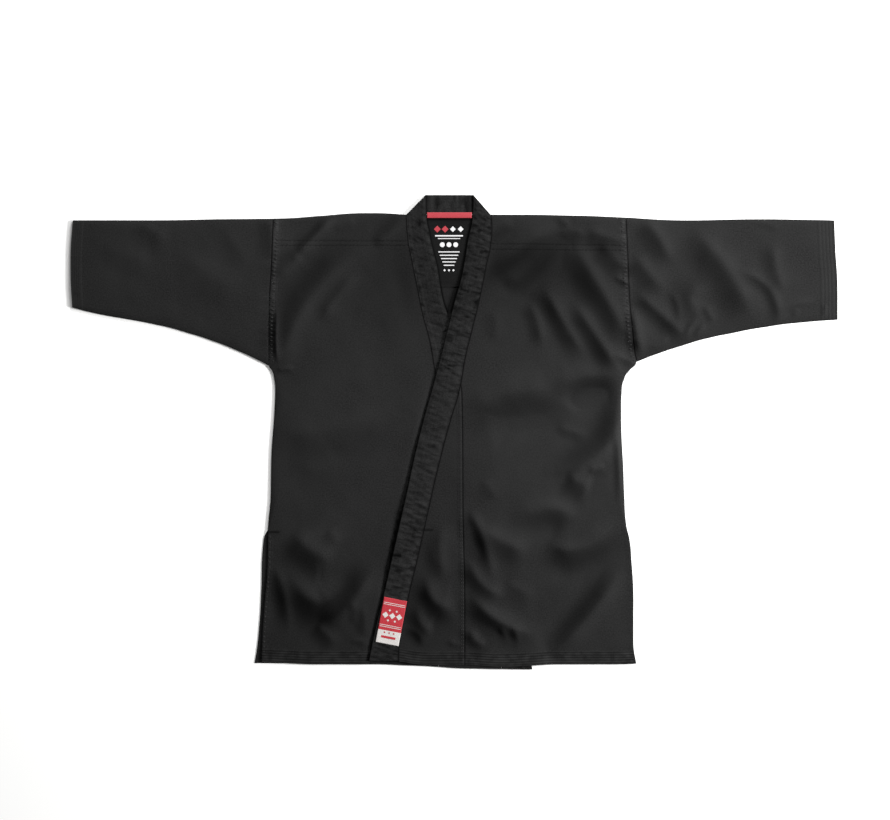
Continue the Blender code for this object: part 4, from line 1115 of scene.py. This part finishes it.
def makeSleeve(side):
    head = float(line["top"](line[side + "Outer"](400.0) - inward[side] * gap))
    height = head - armpit[side]
    upper = withEdges(spacing(0.0, height, tube["step"])) / height
    walls = [sleeveWall(side, upper, outer) for outer in (True, False)]
    rows, turns, _ = walls[0].shape
    points = np.vstack([wall.reshape(-1, 3) for wall in walls])
    count = rows * turns
    i, j = np.meshgrid(np.arange(rows - 1), np.arange(turns), indexing="ij")
    a, b = (i * turns + j).ravel(), (i * turns + (j + 1) % turns).ravel()
    outerFaces = np.column_stack((a, b, b + turns, a + turns))
    j = np.arange(turns)
    k = (j + 1) % turns
    first = np.column_stack((j, j + count, k + count, k))
    faces = np.vstack((outerFaces, outerFaces[:, ::-1] + count, first, first[:, ::-1] + (rows - 1) * turns))
    if side == "left":
        faces = faces[:, ::-1]
    x, y = points[:, 0], points[:, 1]
    toCuff = np.abs(line[side + "Cuff"](y) - x)
    lightened, deep = foldLightAndPatches(x, y, side)
    # the cuff is lighter from abrasion, with the painted highlights of the folds and the lighter patches
    wear = 0.1 * (1.0 - ease((toCuff - sewing[side + "CuffRows"][-1] - 1.0) / 3.0)) + 0.6 * lightened
    wear = wear + edge["wear"] * np.exp(-toCuff / edge["wearReach"])
    # painted shade along the sleeve seam, in the folds and along the cuff rows, with the darker patches
    crease = np.maximum.reduce([0.9 * bell(line[side + "Outer"](y) - x, 1.1), 0.45 * deep]
                               + [0.3 * bell(toCuff - row, 0.9) for row in sewing[side + "CuffRows"]])
    piece = makeMesh(side + "Sleeve", points, faces, points[:, :2], [bodyCloth], wear=wear, crease=crease)
    area = 2.0 * planArea(*sleevePlaces(side, upper, 0.0))
    finishSheet(piece, side + "_sleeve")


def makeTape():
    x, y = np.meshgrid(withEdges(np.linspace(-48.6, 32.0, 30)), withEdges(np.linspace(385.0, 395.0, 6)))
    under = np.full_like(x, layer["band"] + layer["gap"])
    over = under + layer["trim"] + 0.08 * softNoise(x, y, 9.0, 15) + grooves(y, (386.4, 393.6), 0.5)
    piece = shell("neckTape", x, y, under, over, [tapeRibbon], roundOff=0.8)
    finishSheet(piece, "neck_tape")


label = {"corners": ((-141, -377), (-100, -385), (-84.5, -304), (-125.5, -296)), "width": 41.6,
         "height": 82.0, "thick": 0.75, "whiteShare": 0.3, "inset": 1.6}


def labelPlace(u, v):
    # x and y of a place on the label, in millimetres from its lower corner
    u, v = u / label["width"], v / label["height"]
    corners = label["corners"]
    foot = np.multiply.outer(1.0 - u, corners[0]) + np.multiply.outer(u, corners[1])
    head = np.multiply.outer(1.0 - u, corners[3]) + np.multiply.outer(u, corners[2])
    place = foot * (1.0 - v)[..., None] + head * v[..., None]
    return place[..., 0], place[..., 1]


def labelUnder(x, y):
    return bandUnder(x, y, "left") + layer["band"] + layer["gap"]


def labelTop(x, y):
    return labelUnder(x, y) + label["thick"] + 0.16 * softNoise(x, y, 13.0, 17)


def makeLabel():
    # a plain two-tone woven label: red above, off-white below
    u, v = np.meshgrid(withEdges(np.linspace(0.0, label["width"], 22)),
                       withEdges(np.linspace(0.0, label["height"], 56)))
    x, y = labelPlace(u, v)
    white = 0.5 * (v[1:, 1:] + v[:-1, :-1]) < label["whiteShare"] * label["height"]
    piece = shell("lapelLabel", x, y, labelUnder(x, y), labelTop(x, y), [labelRed, labelWhite],
                  uv=np.dstack((u, v)), faceMaterial=white.astype(np.int32), roundOff=0.8)
    finishSheet(piece, "lapel_label")


def ring(centreU, centreV, radius, count=4):
    turn = np.linspace(0.0, 2.0 * math.pi, count, endpoint=False)
    return np.column_stack((centreU + radius * np.cos(turn), centreV + radius * np.sin(turn)))


def bar(centreU, centreV, halfLength, halfWidth):
    corners = np.array(((-1, -1), (1, -1), (1, 1), (-1, 1)), float)
    return corners * (halfLength, halfWidth) + (centreU, centreV)


def makeMotifs(name, shapes, place, top, thread, thick=0.12):
    # flat threads on a ground: every shape is a thin closed plate that follows the ground
    points, faces = [], []
    for shape in shapes:
        x, y = place(shape[:, 0], shape[:, 1])
        ground = top(x, y)
        count, first = len(shape), len(points)
        for offset in (-thick, thick):
            points += list(np.column_stack((x, y, ground + offset)))
        faces.append(tuple(range(first + count - 1, first - 1, -1)))
        faces.append(tuple(range(first + count, first + 2 * count)))
        for k in range(count):
            after = (k + 1) % count
            faces.append((first + k, first + after, first + count + after, first + count + k))
    points = np.array(points)
    finishPiece(makeMesh(name, points, faces, points[:, :2], [thread]))


def makeLabelMotifs():
    # own generic pattern: three lozenges between fine rules on the red field, a bar on the white one
    across = label["width"]
    white = [bar(across / 2, v, across / 2 - label["inset"], 0.5) for v in (30.0, 33.0, 70.0, 73.0)]
    white += [ring(across * share, 51.0, 5.6) for share in (0.2, 0.5, 0.8)]
    white += [ring(across * share, level, 2.2) for share in (0.35, 0.65) for level in (42.0, 60.0)]
    makeMotifs("labelMotifsWhite", white, labelPlace, labelTop, labelWhite)
    red = [bar(across / 2, 12.0, 13.0, 2.0)]
    red += [ring(across * share, 20.0, 1.8) for share in (0.3, 0.5, 0.7)]
    makeMotifs("labelMotifsRed", red, labelPlace, labelTop, labelRed)


# the print inside the neck is a plain stand-in: lozenges, rules and dots, no words
neckPrint = {"middle": -9.0, "top": 374.0, "redRise": 0.1}


def neckPlace(u, v):
    # u and v start in the middle of the print's upper edge
    return neckPrint["middle"] + u, neckPrint["top"] + v


def printLevel(x, y, rise=0.0):
    return np.full(np.shape(x), yokeTop + rise)


def makeNeckPrint():
    white = [ring(step, -9.0, 5.2) for step in (7.0, 21.0)]
    white += [bar(0.0, -21.0, 25.0, 1.2), bar(0.0, -26.0, 20.0, 0.7)]
    white += [ring(step, -37.0, 4.4, 20) for step in (-12.0, 0.0, 12.0)]
    white += [bar(0.0, -50.0 - 6.0 * k, 19.0 - 2.4 * k, 0.9) for k in range(5)]
    white += [ring(step, -83.0, 2.2) for step in (-8.0, 0.0, 8.0)]
    makeMotifs("neckPrint", white, neckPlace, printLevel, printWhite)
    red = [ring(step, -9.0, 6.2) for step in (-21.0, -7.0)]
    makeMotifs("neckPrintRed", red, neckPlace, partial(printLevel, rise=neckPrint["redRise"]), tapeRibbon)


makeBack()
makeYoke()
makePanel("right", "front", bodyRows(), shares(270.0, ((0.0, 16.0),)), ("rightOuter", "rightPanelSeam"),
          "left low", seamedFrom=117.0)
makePanel("right", "overlap", bodyRows(76.0, 9.0), shares(100.0, step=9.0), ("rightPanelSeam", "rightSeam"),
          "low", hidden=True)
makeLapel("right")
makePanel("left", "front", bodyRows(), shares(275.0, ((0.0, 10.0), (259.0, 275.0))),
          ("leftPanelSeam", "leftOuter"), "right low",
          seamedFrom=124.0)
makePanel("left", "overlap", bodyRows(84.0, 3.0), shares(80.0, ((64.0, 80.0),), 3.0),
          ("leftSeam", "leftPanelSeam"), "low")
makeLapel("left")
makeNeckBand()
makeSleeve("right")
makeSleeve("left")
makeTape()
makeLabel()
makeLabelMotifs()
makeNeckPrint()
print("cloth pieces made")


# stitches: a row is a line on the cloth, and each stitch a short rounded piece of thread
stitch = {"pitch": 3.4, "length": 2.5, "width": 0.55, "height": 0.4, "wander": 0.25, "sink": 0.12, "seed": 7}
# the cloth stands up a little between some rows of stitches, in short ridges
overlapRidges = {"pitch": 6.4, "length": 3.4, "width": 1.9, "height": 0.9, "wander": 0.2}
highRidges = {"pitch": 5.0, "length": 2.6, "width": 1.0, "height": 0.55, "wander": 0.2}
armholeRidges = {"pitch": 7.2, "length": 3.0, "width": 8.0, "height": 1.1}
ventRidges = {"pitch": 9.0, "length": 3.0, "width": 4.5, "height": 1.1}
tackThread = {"pitch": 1.1, "length": 2.0, "width": 1.4, "height": 0.5}
# sizes that the stitch nodes take
sockets = {"Pitch": "pitch", "Stitch length": "length", "Thread width": "width", "Thread height": "height"}


def stitchTree():
    tree = bpy.data.node_groups.new("stitchRows", "GeometryNodeTree")
    face = tree.interface
    face.new_socket("Geometry", in_out="INPUT", socket_type="NodeSocketGeometry")
    for name in (*sockets, "Wander"):
        face.new_socket(name, in_out="INPUT", socket_type="NodeSocketFloat")
    face.new_socket("Thread", in_out="INPUT", socket_type="NodeSocketMaterial")
    face.new_socket("Geometry", in_out="OUTPUT", socket_type="NodeSocketGeometry")
    given = addNode(tree, "NodeGroupInput").outputs
    end = addNode(tree, "NodeGroupOutput")
    curve = addNode(tree, "GeometryNodeMeshToCurve", {}, {}, {0: given["Geometry"]})
    spread = addNode(tree, "GeometryNodeCurveToPoints", {"mode": "LENGTH"}, {},
                     {"Curve": curve.outputs[0], "Length": given["Pitch"]})
    grain = addNode(tree, "GeometryNodeMeshUVSphere", {}, {"Segments": 6, "Rings": 4, "Radius": 0.5})
    smooth = addNode(tree, "GeometryNodeSetShadeSmooth", {}, {}, {0: grain.outputs["Mesh"]})
    size = addNode(tree, "ShaderNodeCombineXYZ", {}, {}, {
        "X": given["Stitch length"], "Y": given["Thread width"], "Z": given["Thread height"]})
    turn = addNode(tree, "FunctionNodeAlignRotationToVector", {"axis": "X"}, {},
                   {"Vector": spread.outputs["Tangent"]})
    backWander = addNode(tree, "ShaderNodeMath", {"operation": "MULTIPLY"}, {1: -1.0}, {0: given["Wander"]})
    wander = addNode(tree, "FunctionNodeRandomValue", {"data_type": "FLOAT"}, {"Seed": stitch["seed"]},
                     {2: backWander.outputs[0], 3: given["Wander"]})
    slant = addNode(tree, "ShaderNodeCombineXYZ", {}, {}, {"Z": wander.outputs[1]})
    slanted = addNode(tree, "FunctionNodeRotateRotation", {"rotation_space": "LOCAL"}, {},
                      {"Rotation": turn.outputs["Rotation"], "Rotate By": slant.outputs[0]})
    placed = addNode(tree, "GeometryNodeInstanceOnPoints", {}, {}, {
        "Points": spread.outputs["Points"], "Instance": smooth.outputs[0], "Rotation": slanted.outputs[0],
        "Scale": size.outputs[0]})
    real = addNode(tree, "GeometryNodeRealizeInstances", {}, {}, {0: placed.outputs[0]})
    dyed = addNode(tree, "GeometryNodeSetMaterial", {}, {},
                   {0: real.outputs[0], "Material": given["Thread"]})
    tree.links.new(dyed.outputs[0], end.inputs[0])
    return tree


stitchRows = stitchTree()


def sew(name, rows, thread=blackThread, changes=()):
    # rows are lists of points on the cloth, in millimetres
    size = {**stitch, **dict(changes)}
    points, runs = [], []
    for row in rows:
        first = len(points)
        points += (np.asarray(row) * mm).tolist()
        runs += [(first + k, first + k + 1) for k in range(len(row) - 1)]
    mesh = bpy.data.meshes.new(name + "Lines")
    mesh.from_pydata(points, runs, [])
    source = addObject(name + "Lines", mesh)
    modifier = source.modifiers.new("stitches", "NODES")
    modifier.node_group = stitchRows
    given = {socket: size[key] * mm for socket, key in sockets.items()}
    given.update({"Wander": size["wander"], "Thread": thread})
    for socket in stitchRows.interface.items_tree:
        if socket.in_out == "INPUT" and socket.name in given:
            modifier[socket.identifier] = given[socket.name]
    graph = bpy.context.evaluated_depsgraph_get()
    made = bpy.data.meshes.new_from_object(source.evaluated_get(graph))
    made.name = name
    bpy.data.objects.remove(source, do_unlink=True)
    finishPiece(addObject(name, made))
    print("sewn", name, len(made.polygons))


def onCloth(x, y, top):
    return np.column_stack((x, y, top(x, y) - stitch["sink"]))


def acrossRow(start, end, height, top, step=2.0):
    x = np.arange(start, end, step)
    return onCloth(x, height(x), top)


def uprightRow(start, end, place, top, step=2.0):
    y = np.arange(start, end, step)
    return onCloth(place(y), y, top)


topOf = {side: partial(frontTop, side=side) for side in inward}


def sewHems():
    ends = {"right": (-343, float(line["rightSeam"](-415))), "left": (-98, 324)}
    for side, (low, high) in ends.items():
        sew(side + "HemStitches", [acrossRow(low, high, moved(line[side + "Hem"], row), topOf[side])
                                   for row in sewing["hemRows"]])


def yokeRow(side, row):
    # from the outer seam, or beside it, to the collar
    limit = line[side + "Outer"](row[0][1]) + inward[side]
    low, high = row[0][0], row[1][0]
    low, high = (max(low, limit), high) if side == "right" else (low, min(high, limit))
    return acrossRow(low, high, partial(rowLevel, row=row), topOf[side])


def ventRow(side, below):
    # two short rows that close the head of the vent
    outer = float(line[side + "Outer"](ventTop[side]))
    low, high = sorted((outer + inward[side] * 1.5, outer + inward[side] * 23.0))
    level = partial(np.full_like, fill_value=ventTop[side] - below)
    return acrossRow(low, high, level, topOf[side], 1.0)


def sewBodySeams():
    for side in inward:
        outer, top = line[side + "Outer"], topOf[side]
        ends = {"armhole": (124, 382), "vent": (-392, ventTop[side] - 2)}
        rows = [uprightRow(low, high, moved(outer, inward[side] * row), top)
                for name, (low, high) in ends.items() for row in allowances[name].rows]
        rows += [yokeRow(side, row) for row in sewing[side + "YokeRows"]]
        rows += [ventRow(side, below) for below in (3.0, 8.5)]
        sew(side + "SeamStitches", rows)


def overlapRow(start, end, row):
    return uprightRow(start, end, moved(line["leftOverlapSeam"], -row), topOf["left"])


def sewOverlap():
    sew("overlapStitches", [overlapRow(-395, 74, row) for row in allowances["overlap"].rows])
    x = np.arange(-51.0, -38.0, 1.0)
    sew("barTack", [onCloth(x, np.full_like(x, sewing["tackLevel"]), topOf["left"])], changes=tackThread)
    rows = [overlapRow(-395, -140, row) for row in (2.6, 5.6)]
    sew("overlapRidges", rows, highlightedGatheredCloth, changes=overlapRidges)
    sew("overlapRidgesHigh", [overlapRow(-140, 74, 3.6)], highlightedGatheredCloth, changes=highRidges)


def sewRidges():
    for side in inward:
        row = uprightRow(128, 378, moved(line[side + "Outer"], inward[side] * 6.0), topOf[side])
        sew(side + "ArmholeRidges", [row], highlightedGatheredCloth, changes=armholeRidges)
    row = uprightRow(-395, ventTop["right"] - 12, moved(line["rightOuter"], 3.6), topOf["right"])
    sew("ventRidges", [row], highlightedGatheredCloth, changes=ventRidges)


def sewCuffs():
    for side, foot in (("right", 222.0), ("left", 206.0)):
        top = partial(sleeveTop, side=side)
        rows = [uprightRow(foot, 379, moved(line[side + "Cuff"], inward[side] * row), top)
                for row in sewing[side + "CuffRows"]]
        sew(side + "CuffStitches", rows)


def bandPlace(y, side, share):
    return line[side + "Free"](y) * (1.0 - share) + line[side + "Seam"](y) * share


def neckRow(level):
    x = np.arange(float(line["rightNeckEdge"](level)) + 2.0, float(line["leftNeckEdge"](level)) - 2.0, 2.0)
    return np.column_stack((x, np.full_like(x, level), np.full_like(x, layer["band"] - 0.3)))


def sewBand():
    for side, foot in (("right", -422.0), ("left", -410.0)):
        top = partial(bandTop, side=side)
        rows = [uprightRow(foot, 424.0 - 33.0 * share, partial(bandPlace, side=side, share=share), top)
                for share in sewing["bandRows"]]
        sew(side + "LapelStitches", rows)
    sew("neckStitches", [neckRow(level) for level in sewing["neckRows"]])


sewHems()
sewBodySeams()
sewOverlap()
sewRidges()
sewCuffs()
sewBand()

floor = {"reach": 9.0, "level": -0.0004, "colour": "FCFCFB", "roughness": 0.9, "glow": 0.2}


def makeStage():
    # lit a little from below, as a photo table is, so that it stays white away from the lamps
    corners = [(floor["reach"] * a, floor["reach"] * b, floor["level"])
               for a, b in ((-1, -1), (1, -1), (1, 1), (-1, 1))]
    mesh = bpy.data.meshes.new("floor")
    mesh.from_pydata(corners, [], [(0, 1, 2, 3)])
    mesh.materials.append(startMaterial("paleFloor", {
        "Base Color": linear(floor["colour"]), "Roughness": floor["roughness"],
        "Emission Color": linear(floor["colour"]), "Emission Strength": floor["glow"]})[0])
    addObject("floor", mesh)


# name: place in metres, aim, size in metres, watts
lights = {
    "key": ((3.4, 0.2, 1.6), (0.0, 0.0, 0.0), 1.0, 330.0),
    "top": ((0.3, 2.1, 0.8), (0.0, 0.1, 0.0), 0.9, 62.0),
}
roomLight = 0.09


def makeLights():
    for name, (place, aim, size, power) in lights.items():
        data = bpy.data.lights.new(name, "AREA")
        data.size = size
        data.energy = power
        lamp = addObject(name, data)
        lamp.location = place
        lamp.rotation_euler = (Vector(aim) - Vector(place)).to_track_quat("-Z", "Y").to_euler()
    world = bpy.data.worlds.new("studio")
    world.use_nodes = True
    background = world.node_tree.nodes["Background"].inputs
    background["Color"].default_value = (1.0, 1.0, 1.0, 1.0)
    background["Strength"].default_value = roomLight
    bpy.context.scene.world = world
    bpy.context.scene.view_settings.view_transform = "Standard"


makeStage()
makeLights()
print("stage and lights set")
